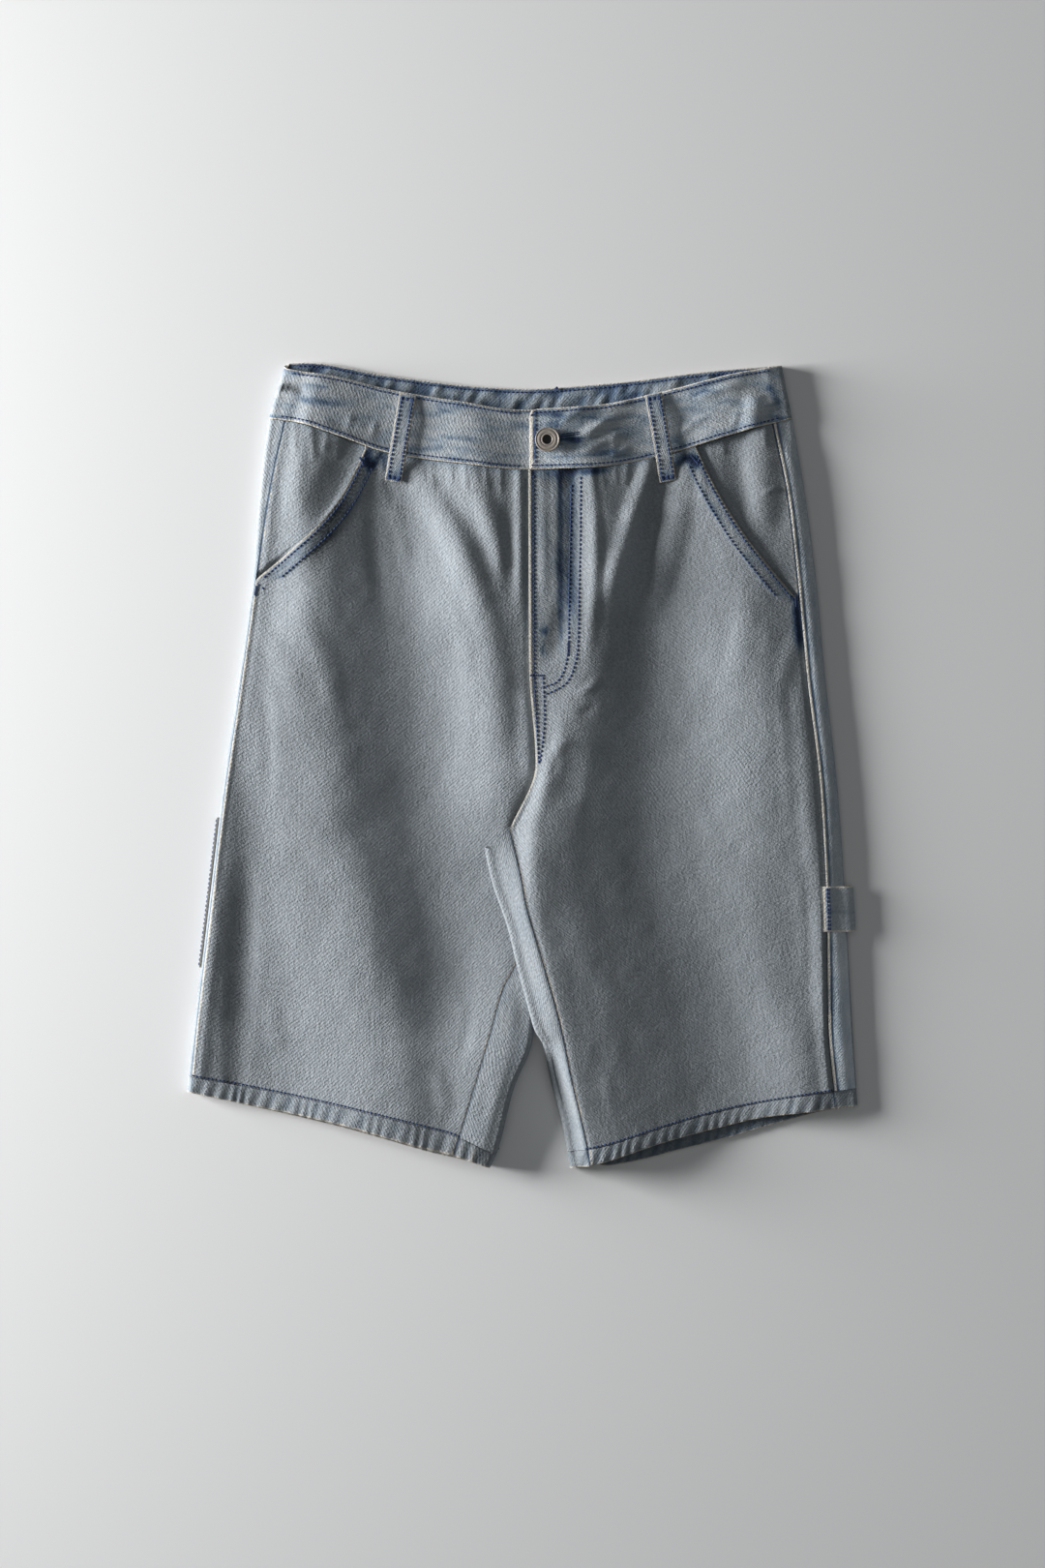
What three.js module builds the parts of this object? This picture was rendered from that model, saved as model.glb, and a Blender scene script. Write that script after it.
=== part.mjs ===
// Knee-length denim carpenter shorts, laid on a table with the front up and the legs a little apart.
// Millimetres. +X is towards the wearer's left, +Y runs from the hems to the waist, +Z is up from the table.
// Every cloth piece is one wall: the garment's outside face, with its thickness taken inwards.
import * as THREE from "three";

// Driving sizes
const LAYER = 1.2; // one layer of denim
const BAND_WALL = 2.2; // the waistband and the turned-up hems are two layers
const SEAM_GAP = 0.3; // between two pieces that are sewn together
const SIDE_ROUND = 3.5; // how far in the cloth rolls over at the side of a leg
const INNER_ROUND = 4.0; // the same at the inner fold of the lower leg
const BAND_PROUD = 1.1; // how far the waistband stands above the panels sewn into it
const FLY_STEP = 0.9; // the fly edge stands up by this, and the panel under it is down by this
const UNDERLAP = 2.5; // how far the panel under the fly reaches past the fly edge
const CROTCH_Y = -42; // where the two centre seams and the two inseams meet
const LOOP_WIDTH = 11.5;
const LOOP_WALL = 1.8;
const HEM_WAVES = { front: 30, strip: 4 }; // puckers along the front and along the inner strip of a hem
const HEM_WAVE_HEIGHT = 0.55;
const LOOP_ARCH = 2.2; // how far a belt loop stands off between its sewn ends
const LOOP_CLEAR = 1; // and at its ends, over the seams that it crosses
const FACING_TUCK = 9; // how far a pocket facing reaches in under the front panel
const FACING_DOWN = 2.5; // how far it lies below the front panel
const LAP = { end: 5, under: 22, dip: 2.1, rise: 1.3 }; // the lapped ends of the waistband
const TOOL_POCKET = { top: -34, bottom: -134, inner: -112, wall: 1.2, firstTurn: 0.42 };
const HAMMER_LOOP = { top: -80, bottom: -110, reach: 5.8, inset: 2, tuck: 12, wall: 1.3, slack: 0.5 };
const BUTTON = { x: 17, y: 214.5, radius: 8.4, height: 4.4, shank: 4.5, hole: 2.4, sides: 20 };

// How finely each piece is divided.
const FRONT_GRID = { cols: 19, toCorner: 7, toCrotch: 8, toHem: 12 };
const FACING_GRID = 9;
const BACK_GRID = { side: 6, floor: 9, fold: 10, strip: 3, toCrotch: 8, toHem: 12 };
const SECTION_GRID = { strip: 4, round: 12, under: 24 }; // the runs of points of a leg's section
const HEM_GRID = { wave: 3, side: 5, floor: 10, fold: 12 };
const BAND_GRID = { front: 22, side: 6, back: 14, lap: 3, rows: 4 };
const LOOP_GRID = 10;
const HAMMER_GRID = { down: 4, over: 5, round: 10, under: 3 };
const POCKET_GRID = { down: 5, round: 7, flat: 5 };

// A table has named columns and a row for each section or point. look() reads a column smoothly between rows.
function table(names, rows) {
  return rows.map((row) => Object.fromEntries(names.map((name, i) => [name, row[i]])));
}

function look(rows, key, name, at) {
  const up = rows[rows.length - 1][key] > rows[0][key];
  const list = up ? rows : [...rows].reverse();
  const last = list.length - 1;
  if (at <= list[0][key]) return list[0][name];
  if (at >= list[last][key]) return list[last][name];
  let i = 0;
  while (at > list[i + 1][key]) i++;
  const slope = (a, b) => (list[b][name] - list[a][name]) / (list[b][key] - list[a][key]);
  const span = list[i + 1][key] - list[i][key];
  const here = slope(i, i + 1);
  const before = i > 0 ? slope(i - 1, i) : here;
  const after = i + 1 < last ? slope(i + 1, i + 2) : here;
  const ease = (a, b) => (a * b <= 0 ? 0 : (2 * a * b) / (a + b));
  const m0 = ease(before, here) * span;
  const m1 = ease(here, after) * span;
  const t = (at - list[i][key]) / span;
  const p0 = list[i][name];
  const p1 = list[i + 1][name];
  return (
    p0 * (1 + 2 * t) * (1 - t) ** 2 + m0 * t * (1 - t) ** 2 + p1 * t * t * (3 - 2 * t) + m1 * t * t * (t - 1)
  );
}

// Outline seen from above: the outer edges and the side seams.
const OUTLINE = table(
  ["y", "rightEdge", "rightSeam", "leftSeam", "leftEdge"],
  [
    [266, -157, -149, 160, 172.5],
    [227, -168, -157.5, 166.5, 180],
    [180, -174, -167.5, 176, 188],
    [122, -178.5, -176.3, 183, 195.5],
    [58, -187.5, -185.3, 189, 201.5],
    [-19, -198.5, -196.6, 198, 210],
    [-102, -208.5, -206.6, 202, 215.5],
    [-172, -217, -215, 203, 219.5],
    [-225, -223, -220.6, 208, 223],
  ],
);

// Seams and folds between the legs: the centre front seam, the two inseams, the flap of the upper leg that
// lies over the lower leg, the inner fold of the lower leg, and the centre back seam on the table.
const CENTRE_SEAM = table(["y", "x"], [[195, 4.5], [65, 5], [1, 9.3], [CROTCH_Y, -7.7]]);
const RIGHT_INSEAM = table(
  ["y", "x"],
  [[CROTCH_Y, -7.7], [-85, -2], [-127, -3.2], [-148, -12.8], [-175, -20.5], [-205, -29.4], [-257, -45.2]],
);
const LEFT_INSEAM = table(
  ["y", "x"],
  [
    [CROTCH_Y, -7.7],
    [-73, -0.3],
    [-92, 3.2],
    [-123, 12.2],
    [-175, 26.7],
    [-202, 32],
    [-249, 42.9],
    [-263, 45.4],
  ],
);
const FLAP_EDGE = table(
  ["y", "x", "half"],
  [
    [CROTCH_Y, -27, 1.7],
    [-55, -24.5, 1.7],
    [-76, -20, 1.7],
    [-107, -9.3, 1.7],
    [-132, -3.2, 1.7],
    [-163, 5.1, 1.8],
    [-175, 8.7, 1.9],
    [-184, 14, 2],
    [-207, 18.8, 2.4],
    [-236, 26.7, 2.9],
    [-266, 32, 3.2],
  ],
);
const INNER_FOLD = table(
  ["y", "x"],
  [
    [CROTCH_Y, 14],
    [-70, 10.8],
    [-110, 9.6],
    [-147, 9.6],
    [-180, 7.7],
    [-214, -5.1],
    [-255, -15.7],
    [-266, -20.8],
  ],
);
const CENTRE_BACK = table(["y", "x"], [[230, 6], [60, 9], [0, 12], [CROTCH_Y, 13]]);
const FLAP_FLOOR = table(
  ["y", "x"],
  [[CROTCH_Y, 15.8], [-60, 19], [-85, 26], [-134, 33], [-180, 34], [-230, 40], [-266, 44]],
);

// Heights of the outside face above the table. In each section the cloth runs from the rolled edge through a
// dip, a crest, a trough and a swell to its inner end.
const RIGHT_LEG = table(
  ["y", "rimZ", "dipX", "dipZ", "crestX", "crestZ", "troughX", "troughZ", "swellX", "swellZ", "endZ"],
  [
    [266, 6.5, -145, 8, -131, 9.5, -89, 8, -25, 12.5, 13],
    [227, 7, -153, 8.5, -140, 12, -86, 7, -26, 13.5, 13],
    [180, 7, -163, 8.5, -143, 14.5, -83, 5, -27, 14.5, 12.5],
    [122, 7, -170, 8, -139, 15, -81, 4.6, -31, 15, 13],
    [58, 6.5, -178, 7.5, -141, 15.5, -73.5, 4.4, -17, 15.5, 13.5],
    [-6, 8, -186, 7.5, -129, 16, -65, 4.4, -8, 15.5, 14.5],
    [CROTCH_Y, 9, -180, 6.8, -126, 15.5, -60, 4.6, -8, 10.5, 10],
    [-70, 9.5, -178.5, 6.4, -116.5, 15, -55, 4.6, -8, 7.5, 7.2],
    [-134, 9.5, -178.5, 6.2, -99, 15.5, -44, 5, -6, 10, 9.6],
    [-166, 9, -176, 5.5, -88, 15.5, -48, 9, -8, 13.5, 12.5],
    [-198, 8, -173.5, 5, -80, 15.5, -53, 13, -12, 17, 16],
    [-266, 7, -177, 5.4, -78, 13.5, -50, 12, -30, 13, 12],
  ],
);
const LEFT_LEG = table(
  ["y", "startZ", "crestX", "crestZ", "troughX", "troughZ", "swellX", "swellZ", "seamZ", "rimZ"],
  [
    [266, 13, 23, 14, 75, 10, 141, 10.5, 8.5, 7],
    [227, 13, 30, 14.5, 83, 8, 135, 11.5, 8.5, 7],
    [180, 12.5, 45, 15, 85, 6, 133, 12, 9, 6.8],
    [122, 13, 47, 15, 87.5, 4.8, 153, 11.5, 8.5, 6.6],
    [58, 13.5, 39.5, 16.5, 92, 4.4, 158, 11.5, 8, 6.5],
    [-6, 14.5, 19.5, 19, 94, 4.4, 162, 11, 8.5, 6.5],
    [CROTCH_Y, 14.5, 11, 21, 97, 4.4, 167, 10, 9, 6.5],
    [-70, 19, 8.5, 21.5, 102, 4.4, 165, 9.5, 9.5, 6.5],
    [-102, 20.5, 12, 21.5, 114, 4.4, 167, 8.8, 9.3, 6.5],
    [-134, 21, 19, 21.5, 127, 4.4, 168, 8.5, 9, 6.5],
    [-198, 19.5, 34.5, 20, 143, 4.6, 187, 10.8, 8.5, 6.4],
    [-266, 16.5, 49, 17, 148, 5.4, 190, 11, 8.5, 6.8],
  ],
);

// Lines that cross the legs: the waist seam and both edges of the band by x, and the hems by x.
const WAIST_FRONT = table(
  ["x", "top", "seam"],
  [
    [-168, 266, 230],
    [-149, 261.5, 227],
    [-121, 257, 218],
    [-90, 249.5, 207.5],
    [-44, 241, 200],
    [0, 235, 195.5],
    [45, 237.5, 196.5],
    [90, 246.5, 204.5],
    [147, 260.5, 221],
    [180, 266, 230],
  ],
);
const WAIST_BACK = table(
  ["x", "top", "seam"],
  [
    [-168, 266, 230],
    [-143, 267.4, 228],
    [-90, 259, 219],
    [-28, 251.5, 211.5],
    [3, 250, 210],
    [57, 253.5, 213.5],
    [129, 262, 222.5],
    [180, 266, 230],
  ],
);
const RIGHT_HEM = table(
  ["x", "stitch", "edge", "backDrop"],
  [
    [-222, -205.5, -216, 0],
    [-183, -213, -224.5, 0.5],
    [-121, -225.5, -237.5, 2],
    [-59, -240.5, -254.5, 2.5],
    [-45, -244.5, -258, 2],
    [-20, -256, -266.5, 0],
  ],
);
const LEFT_HEM = table(
  ["x", "stitch", "edge", "backDrop"],
  [
    [32, -256, -267, 0],
    [46, -253, -264, 0],
    [57, -250.5, -261, 4.5],
    [93, -239.5, -249.5, 8.5],
    [129, -230, -240.5, 8.5],
    [165, -222.5, -232.5, 6],
    [201, -216.5, -228, 1],
    [222, -214, -225.5, 0],
  ],
);
const RIGHT_POCKET = table(
  ["y", "x"],
  [[209.5, -103.8], [192, -111.9], [175, -121.2], [159.5, -133.6], [142.5, -152.3], [123, -176.3]],
);
const LEFT_POCKET = table(
  ["y", "x"],
  [[210.5, 115.6], [182.5, 129], [153.5, 147], [130.5, 165], [109.5, 183]],
);

// Small maths
const clamp01 = (t) => Math.min(1, Math.max(0, t));
const lerp = (a, b, t) => a + (b - a) * t;
const RAMP_END = 0.32; // share of a slope that eases in, and the same out
function ramp(t) {
  const s = clamp01(t);
  const top = 1 / (1 - RAMP_END);
  if (s < RAMP_END) return (top * s * s) / (2 * RAMP_END);
  if (s > 1 - RAMP_END) return 1 - (top * (1 - s) ** 2) / (2 * RAMP_END);
  return top * (s - RAMP_END / 2);
}
const steps = (from, to, count) => Array.from({ length: count + 1 }, (_, i) => lerp(from, to, i / count));
function along(list, x) {
  let i = 0;
  while (i < list.length - 2 && x > list[i + 1].x) i++;
  const [a, b] = [list[i], list[i + 1]];
  return lerp(a.z, b.z, ramp((x - a.x) / (b.x - a.x)));
}
function rollOver(inward, height) {
  const out = clamp01(1 - inward / SIDE_ROUND);
  return (height / 2) * (1 + Math.sqrt(1 - out * out));
}

const outline = (name, y) => look(OUTLINE, "y", name, y);
const centreSeam = (y) => look(CENTRE_SEAM, "y", "x", y);
const rightInseam = (y) => look(RIGHT_INSEAM, "y", "x", y);
const leftInseam = (y) => look(LEFT_INSEAM, "y", "x", y);
const innerFold = (y) => look(INNER_FOLD, "y", "x", y);
const flap = (name, y) => look(FLAP_EDGE, "y", name, y);
const flapFloor = (y) => look(FLAP_FLOOR, "y", "x", y);
const frontSeam = (x) => look(WAIST_FRONT, "x", "seam", x);

// Height of the wearer's right leg and right half (the left of the picture).
function rightZ(x, y) {
  const edge = outline("rightEdge", y);
  const at = (name) => look(RIGHT_LEG, "y", name, y);
  const rim = at("rimZ");
  if (x < edge + SIDE_ROUND) return rollOver(x - edge, rim);
  const end = y > CROTCH_Y ? centreSeam(y) : innerFold(y) - INNER_ROUND;
  return along(
    [
      { x: edge + SIDE_ROUND, z: rim },
      { x: at("dipX"), z: at("dipZ") },
      { x: at("crestX"), z: at("crestZ") },
      { x: at("troughX"), z: at("troughZ") },
      { x: Math.min(at("swellX"), end - 1), z: at("swellZ") },
      { x: end, z: at("endZ") },
    ],
    x,
  );
}

// Height of the wearer's left leg and left half. Its inner flap climbs over the other leg.
const leftStart = (y) => (y > CROTCH_Y ? centreSeam(y) : leftInseam(y));
function leftZ(x, y) {
  const edge = outline("leftEdge", y);
  const at = (name) => look(LEFT_LEG, "y", name, y);
  const rim = at("rimZ");
  if (x > edge - SIDE_ROUND) return rollOver(edge - x, rim);
  const start = leftStart(y);
  if (x < start) {
    const tip = flap("x", y) + SIDE_ROUND;
    const tipZ = flapUnder(tip, y) + 2 * flap("half", y);
    return along([{ x: tip, z: tipZ }, { x: start, z: at("startZ") }], x);
  }
  return along(
    [
      { x: start, z: at("startZ") },
      { x: at("crestX"), z: at("crestZ") },
      { x: at("troughX"), z: at("troughZ") },
      { x: at("swellX"), z: at("swellZ") },
      { x: outline("leftSeam", y), z: at("seamZ") },
      { x: edge - SIDE_ROUND, z: rim },
    ],
    x,
  );
}

// Height of the face of the flap that looks down: it lies on the lower leg and falls to the table beside it.
const FLAP_CLEAR = 0.7; // between the flap and the leg that it lies on
const FLAP_BESIDE = 0.8; // between the flap and the side of that leg
const FLAP_LEAVES = { from: -178, over: 52 }; // below this the legs part and the flap comes down
function flapUnder(x, y) {
  const fold = innerFold(y);
  const top = rightZ(Math.min(x, fold - INNER_ROUND), y) + FLAP_CLEAR;
  const beside = fold + FLAP_BESIDE;
  const down = 1 - ramp((x - beside) / (flapFloor(y) - beside));
  const leave = 1 - ramp((FLAP_LEAVES.from - y) / FLAP_LEAVES.over);
  return top * down * leave;
}

// Where the cloth of the back lies on the tool pocket or on the end of the hammer loop.
const LIFT_REACH = 28; // the cloth is clear of the table this far round the piece that it lies on
const LIFT_EASE = 12; // and comes down over this length
function within(at, from, to) {
  const reach = LIFT_REACH + LIFT_EASE;
  return ramp((at - from + reach) / LIFT_EASE) * ramp((to + reach - at) / LIFT_EASE);
}
function lift(x, y) {
  const pocket = within(x, -Infinity, TOOL_POCKET.inner) * within(y, TOOL_POCKET.bottom, TOOL_POCKET.top);
  const loopEnd = outline("leftEdge", y) - HAMMER_LOOP.tuck;
  const loop = within(x, loopEnd, Infinity) * within(y, HAMMER_LOOP.bottom, HAMMER_LOOP.top);
  return (TOOL_POCKET.wall + SEAM_GAP) * pocket + (HAMMER_LOOP.wall + SEAM_GAP) * loop;
}

// Half round at a fold, from the upper face (turn 0) to the lower face (turn 1).
function halfRound(edge, inward, low, high, turn) {
  const a = turn * Math.PI;
  return { x: edge + inward * (1 - Math.sin(a)), z: low + ((high - low) / 2) * (1 + Math.cos(a)) };
}

// The y at which a slanting line of points crosses a seam: each gives the other, so go back and forth.
const MEET_ROUNDS = 7;
function meet(lineX, seamY) {
  let y = 0;
  for (let i = 0; i < MEET_ROUNDS; i++) y = seamY(lineX(y));
  return y;
}

// A point at share t of a line of points, by length.
function spread(points, t) {
  const far = [0];
  for (let i = 1; i < points.length; i++) {
    far.push(far[i - 1] + Math.hypot(points[i].x - points[i - 1].x, points[i].z - points[i - 1].z));
  }
  const goal = clamp01(t) * far[far.length - 1];
  let i = 1;
  while (i < far.length - 1 && far[i] < goal) i++;
  const s = (goal - far[i - 1]) / Math.max(1e-9, far[i] - far[i - 1]);
  return { x: lerp(points[i - 1].x, points[i].x, s), z: lerp(points[i - 1].z, points[i].z, s) };
}

// One leg's section at y, as runs of points: over the side, along the table, round the inner fold, and the
// strip of the back that shows beside the inseam.
const ROUND = steps(0, 1, SECTION_GRID.round);
const CROTCH_TUCK = { right: CROTCH_Y - 3.5, left: CROTCH_Y - 13 }; // how low the back rise seam dips
const JUST_BELOW = 0.2;
const LEGS = {
  right: {
    side: -1,
    z: rightZ,
    edge: (y) => outline("rightEdge", y),
    seam: (y) => outline("rightSeam", y),
    floorEnd: (y) => (y > CROTCH_Y ? look(CENTRE_BACK, "y", "x", y) : innerFold(y) - INNER_ROUND),
    inseam: rightInseam,
    rim: (y) => look(RIGHT_LEG, "y", "rimZ", y),
    hem: RIGHT_HEM,
    fold(y) {
      const x = innerFold(y);
      const high = rightZ(x - INNER_ROUND, y);
      return ROUND.map((t) => halfRound(x, -INNER_ROUND, 0, high, 1 - t));
    },
    stripStart: (y) => innerFold(y) - INNER_ROUND,
    crotchEdge: (part, t) => riseSeam(CROTCH_TUCK.right, part, t),
  },
  left: {
    side: 1,
    z: leftZ,
    edge: (y) => outline("leftEdge", y),
    seam: (y) => outline("leftSeam", y),
    floorEnd: (y) => (y > CROTCH_Y ? look(CENTRE_BACK, "y", "x", y) : flapFloor(y)),
    inseam: leftInseam,
    rim: (y) => look(LEFT_LEG, "y", "rimZ", y),
    hem: LEFT_HEM,
    fold(y) {
      const tip = flap("x", y);
      const reach = steps(flapFloor(y), tip + SIDE_ROUND, SECTION_GRID.under);
      const under = reach.map((x) => ({ x, z: flapUnder(x, y) }));
      const low = under[under.length - 1].z;
      const high = low + 2 * flap("half", y);
      const tipRound = ROUND.slice(1).map((t) => halfRound(tip, SIDE_ROUND, low, high, 1 - t));
      return [...under, ...tipRound];
    },
    stripStart: (y) => flap("x", y) + SIDE_ROUND,
    crotchEdge: (part, t) => riseSeam(CROTCH_TUCK.left, part, t),
  },
};

// The back rise seam, round the inner fold and on to the point of the crotch.
function riseSeam(dip, part, t) {
  return part === "fold" ? lerp(CROTCH_Y, dip, t) : lerp(dip, CROTCH_Y - JUST_BELOW, t);
}

function sidePath(leg, y) {
  const inward = -leg.side * SIDE_ROUND;
  const edge = leg.edge(y);
  const seam = leg.seam(y) + (leg.side * SEAM_GAP) / 2;
  const start = edge + inward;
  const over = (seam - start) * leg.side < 0;
  const strip = over ? steps(seam, start, SECTION_GRID.strip).map((x) => ({ x, z: leg.z(x, y) })) : [];
  const firstTurn = over ? 0 : Math.asin(clamp01(1 - (seam - edge) / inward)) / Math.PI;
  const turns = steps(firstTurn, 1, SECTION_GRID.round);
  const roll = turns.map((t) => halfRound(edge, inward, 0, leg.rim(y), t));
  return [...strip, ...(over ? roll.slice(1) : roll)];
}

function legPoint(leg, part, t, y) {
  if (part === "side") return spread(sidePath(leg, y), t);
  if (part === "floor") {
    const from = leg.edge(y) - leg.side * SIDE_ROUND;
    const to = leg.floorEnd(y) + (y > CROTCH_Y ? (leg.side * SEAM_GAP) / 2 : 0);
    return { x: lerp(from, to, t), z: 0 };
  }
  if (part === "fold") return spread(leg.fold(y), t);
  const [from, to] = [leg.stripStart(y), leg.inseam(y) - leg.side * SEAM_GAP];
  const x = lerp(from, to, t);
  return { x, z: leg.z(x, y) };
}

// A wall from a grid of outside points. Cells that are not live are left out; the wall's edges are closed.
function wall(grid, thickness, { out = 1, closed = false, live = () => true } = {}) {
  const rows = grid.length;
  const cols = grid[0].length;
  const cellCols = closed ? cols : cols - 1;
  const right = (j) => (closed ? (j + 1) % cols : Math.min(j + 1, cols - 1));
  const left = (j) => (closed ? (j + cols - 1) % cols : Math.max(j - 1, 0));
  const inGrid = (i, j) => i >= 0 && i < rows - 1 && (closed || (j >= 0 && j < cellCols));
  const isLive = (i, j) => inGrid(i, j) && live(i, (j + cols) % cols);
  const used = (i, j) => isLive(i, j) || isLive(i - 1, j) || isLive(i, j - 1) || isLive(i - 1, j - 1);
  const ids = grid.map((row) => row.map(() => -1));
  const outside = [];
  const inside = [];
  for (let i = 0; i < rows; i++) {
    for (let j = 0; j < cols; j++) {
      if (!used(i, j)) continue;
      const p = grid[i][j];
      const near = (a, b) => (used(a, b) ? grid[a][b].at : p.at);
      const across = near(i, right(j)).clone().sub(near(i, left(j)));
      const down = near(Math.min(i + 1, rows - 1), j).clone().sub(near(Math.max(i - 1, 0), j));
      const normal = p.normal ? p.normal.clone() : across.cross(down).multiplyScalar(out);
      normal.normalize();
      ids[i][j] = outside.length;
      outside.push(p.at.clone().addScaledVector(normal, p.raise ?? 0));
      inside.push(p.at.clone().addScaledVector(normal, -thickness));
    }
  }
  const count = outside.length;
  const faces = [];
  const quad = (a, b, c, d) => {
    const order = out > 0 ? [a, b, c, a, c, d] : [a, c, b, a, d, c];
    faces.push(...order);
  };
  for (let i = 0; i < rows - 1; i++) {
    for (let j = 0; j < cellCols; j++) {
      if (!isLive(i, j)) continue;
      const [a, b, c, d] = [ids[i][j], ids[i][right(j)], ids[i + 1][right(j)], ids[i + 1][j]];
      quad(a, b, c, d);
      quad(d + count, c + count, b + count, a + count);
      if (!isLive(i - 1, j)) quad(a + count, b + count, b, a);
      if (!isLive(i + 1, j)) quad(d, c, c + count, d + count);
      if (!isLive(i, j - 1)) quad(d + count, a + count, a, d);
      if (!isLive(i, j + 1)) quad(b, b + count, c + count, c);
    }
  }
  const geometry = new THREE.BufferGeometry();
  const positions = [...outside, ...inside].flatMap((p) => [p.x, p.y, p.z]);
  geometry.setAttribute("position", new THREE.Float32BufferAttribute(positions, 3));
  geometry.setIndex(faces);
  return geometry;
}

const SLOPE_STEP = 0.5;
function onTop(height, x, y) {
  const dx = (height(x + SLOPE_STEP, y) - height(x - SLOPE_STEP, y)) / (2 * SLOPE_STEP);
  const dy = (height(x, y + SLOPE_STEP) - height(x, y - SLOPE_STEP)) / (2 * SLOPE_STEP);
  return { at: new THREE.Vector3(x, y, height(x, y)), normal: new THREE.Vector3(-dx, -dy, 1) };
}

// Front panels: ruled from the pocket mouth and side seam to the centre seam and inseam.
const FLY_FADE = { below: 4, over: 10 }; // the step at the fly dies out at the crotch
const FLY_EASE = { right: 4, left: 25 }; // how far from the fly edge each panel is moved
const flyFade = (y) => ramp((y - CROTCH_Y + FLY_FADE.below) / FLY_FADE.over);
function rightFrontZ(x, y) {
  const near = ramp((x - centreSeam(y) + FLY_EASE.right) / FLY_EASE.right);
  return rightZ(x, y) - FLY_STEP * flyFade(y) * near;
}
function leftFrontZ(x, y) {
  const near = 1 - ramp((x - centreSeam(y)) / FLY_EASE.left);
  return leftZ(x, y) + FLY_STEP * flyFade(y) * near;
}
const rightInner = (y) => (y > CROTCH_Y ? centreSeam(y) + UNDERLAP * flyFade(y) : rightInseam(y));

function frontPanel({ height, pocket, seam, inner, hem, side }) {
  const corner = pocket[pocket.length - 1].y;
  const outerX = (y) => (y > corner ? look(pocket, "y", "x", y) : seam(y) - (side * SEAM_GAP) / 2);
  const top = (x) => frontSeam(x) - SEAM_GAP;
  const bottom = (x) => look(hem, "x", "stitch", x) + SEAM_GAP;
  const [outerTop, innerTop] = [meet(outerX, top), meet(inner, top)];
  const [outerBottom, innerBottom] = [meet(outerX, bottom), meet(inner, bottom)];
  const cornerShare = (outerTop - corner) / (outerTop - outerBottom);
  const crotchShare = (innerTop - CROTCH_Y) / (innerTop - innerBottom);
  const shares = [
    ...steps(0, cornerShare, FRONT_GRID.toCorner),
    ...steps(cornerShare, crotchShare, FRONT_GRID.toCrotch).slice(1),
    ...steps(crotchShare, 1, FRONT_GRID.toHem).slice(1),
  ];
  const grid = shares.map((v) => {
    const outerY = lerp(outerTop, outerBottom, v);
    const innerY = lerp(innerTop, innerBottom, v);
    return steps(0, 1, FRONT_GRID.cols).map((u) => {
      const x = lerp(outerX(outerY), inner(innerY), u);
      const topY = top(lerp(outerX(outerTop), inner(innerTop), u));
      const bottomY = bottom(lerp(outerX(outerBottom), inner(innerBottom), u));
      return onTop(height, x, lerp(topY, bottomY, v));
    });
  });
  return wall(grid, LAYER, { out: side });
}

// Pocket facings: the cloth that shows in each slanted pocket mouth, tucked under the front panel.
const FACING_END = 3; // how far the facing runs on below the corner of the pocket mouth
function pocketFacing({ height, pocket, seam, side }) {
  const low = pocket[pocket.length - 1].y - FACING_END;
  const mouth = (y) => look(pocket, "y", "x", y);
  const sunk = (x, y) => height(x, y) - FACING_DOWN;
  const outer = (y) => seam(y) - (side * SEAM_GAP) / 2;
  const inner = (y) => mouth(y) - side * FACING_TUCK;
  const top = (x) => frontSeam(x) - SEAM_GAP;
  const [outerTop, innerTop] = [meet(outer, top), meet(inner, top)];
  const grid = steps(0, 1, FACING_GRID).map((v) =>
    steps(0, 1, FACING_GRID).map((u) => {
      const x = lerp(outer(lerp(outerTop, low, v)), inner(lerp(innerTop, low, v)), u);
      const y = lerp(top(lerp(outer(outerTop), inner(innerTop), u)), low, v);
      return onTop(sunk, x, y);
    }),
  );
  return wall(grid, LAYER, { out: side });
}

// Back panels: over the side fold, flat along the table, and below the crotch round the inner fold to the
// inseam.
const BACK_PARTS = ["side", "floor", "fold", "strip"];
const SEAM_END = 0.98; // the centre back seam stays closed for this share of its length

function backPanel(leg) {
  const columns = BACK_PARTS.flatMap((part, k) => {
    const run = steps(0, 1, BACK_GRID[part]).slice(k === 0 ? 0 : 1);
    return run.map((t) => ({ part, t }));
  });
  const shared = BACK_GRID.side + BACK_GRID.floor;
  const hemY = ({ part, t }) => {
    const lineX = (y) => legPoint(leg, part, t, y).x;
    return hemLine(leg, "stitch", part, t, lineX) + SEAM_GAP;
  };
  const waistY = ({ part, t }) => {
    const share = part === "side" ? ramp(t) : 1;
    const seam = (x) => lerp(frontSeam(x), look(WAIST_BACK, "x", "seam", x), share) - SEAM_GAP;
    return meet((y) => legPoint(leg, part, t, y).x, seam);
  };
  const place = (column, y) => {
    const p = legPoint(leg, column.part, column.t, y);
    const low = column.part === "floor" || (column.part === "side" && p.z < leg.rim(y) / 2);
    const at = new THREE.Vector3(p.x, y, p.z + (low ? lift(p.x, y) * (1 - p.z / leg.rim(y)) : 0));
    const sewn = (column.part === "side" && column.t === 0) || (column.part === "strip" && column.t === 1);
    return sewn ? { at, normal: onTop(leg.z, p.x, y).normal } : { at };
  };
  const above = [...steps(0, SEAM_END, BACK_GRID.toCrotch - 1), 1];
  const below = steps(0, 1, BACK_GRID.toHem).slice(1);
  const lines = columns.map((column, j) => {
    const crotch = j <= shared ? CROTCH_Y : leg.crotchEdge(column.part, column.t);
    const top = j <= shared ? waistY(column) : crotch;
    const bottom = hemY(column);
    return [...above.map((v) => lerp(top, crotch, v)), ...below.map((v) => lerp(crotch, bottom, v))];
  });
  const grid = lines[0].map((_, i) => columns.map((column, j) => place(column, lines[j][i])));
  return wall(grid, LAYER, { out: -leg.side, live: (i, j) => j < shared || i >= BACK_GRID.toCrotch });
}

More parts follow.
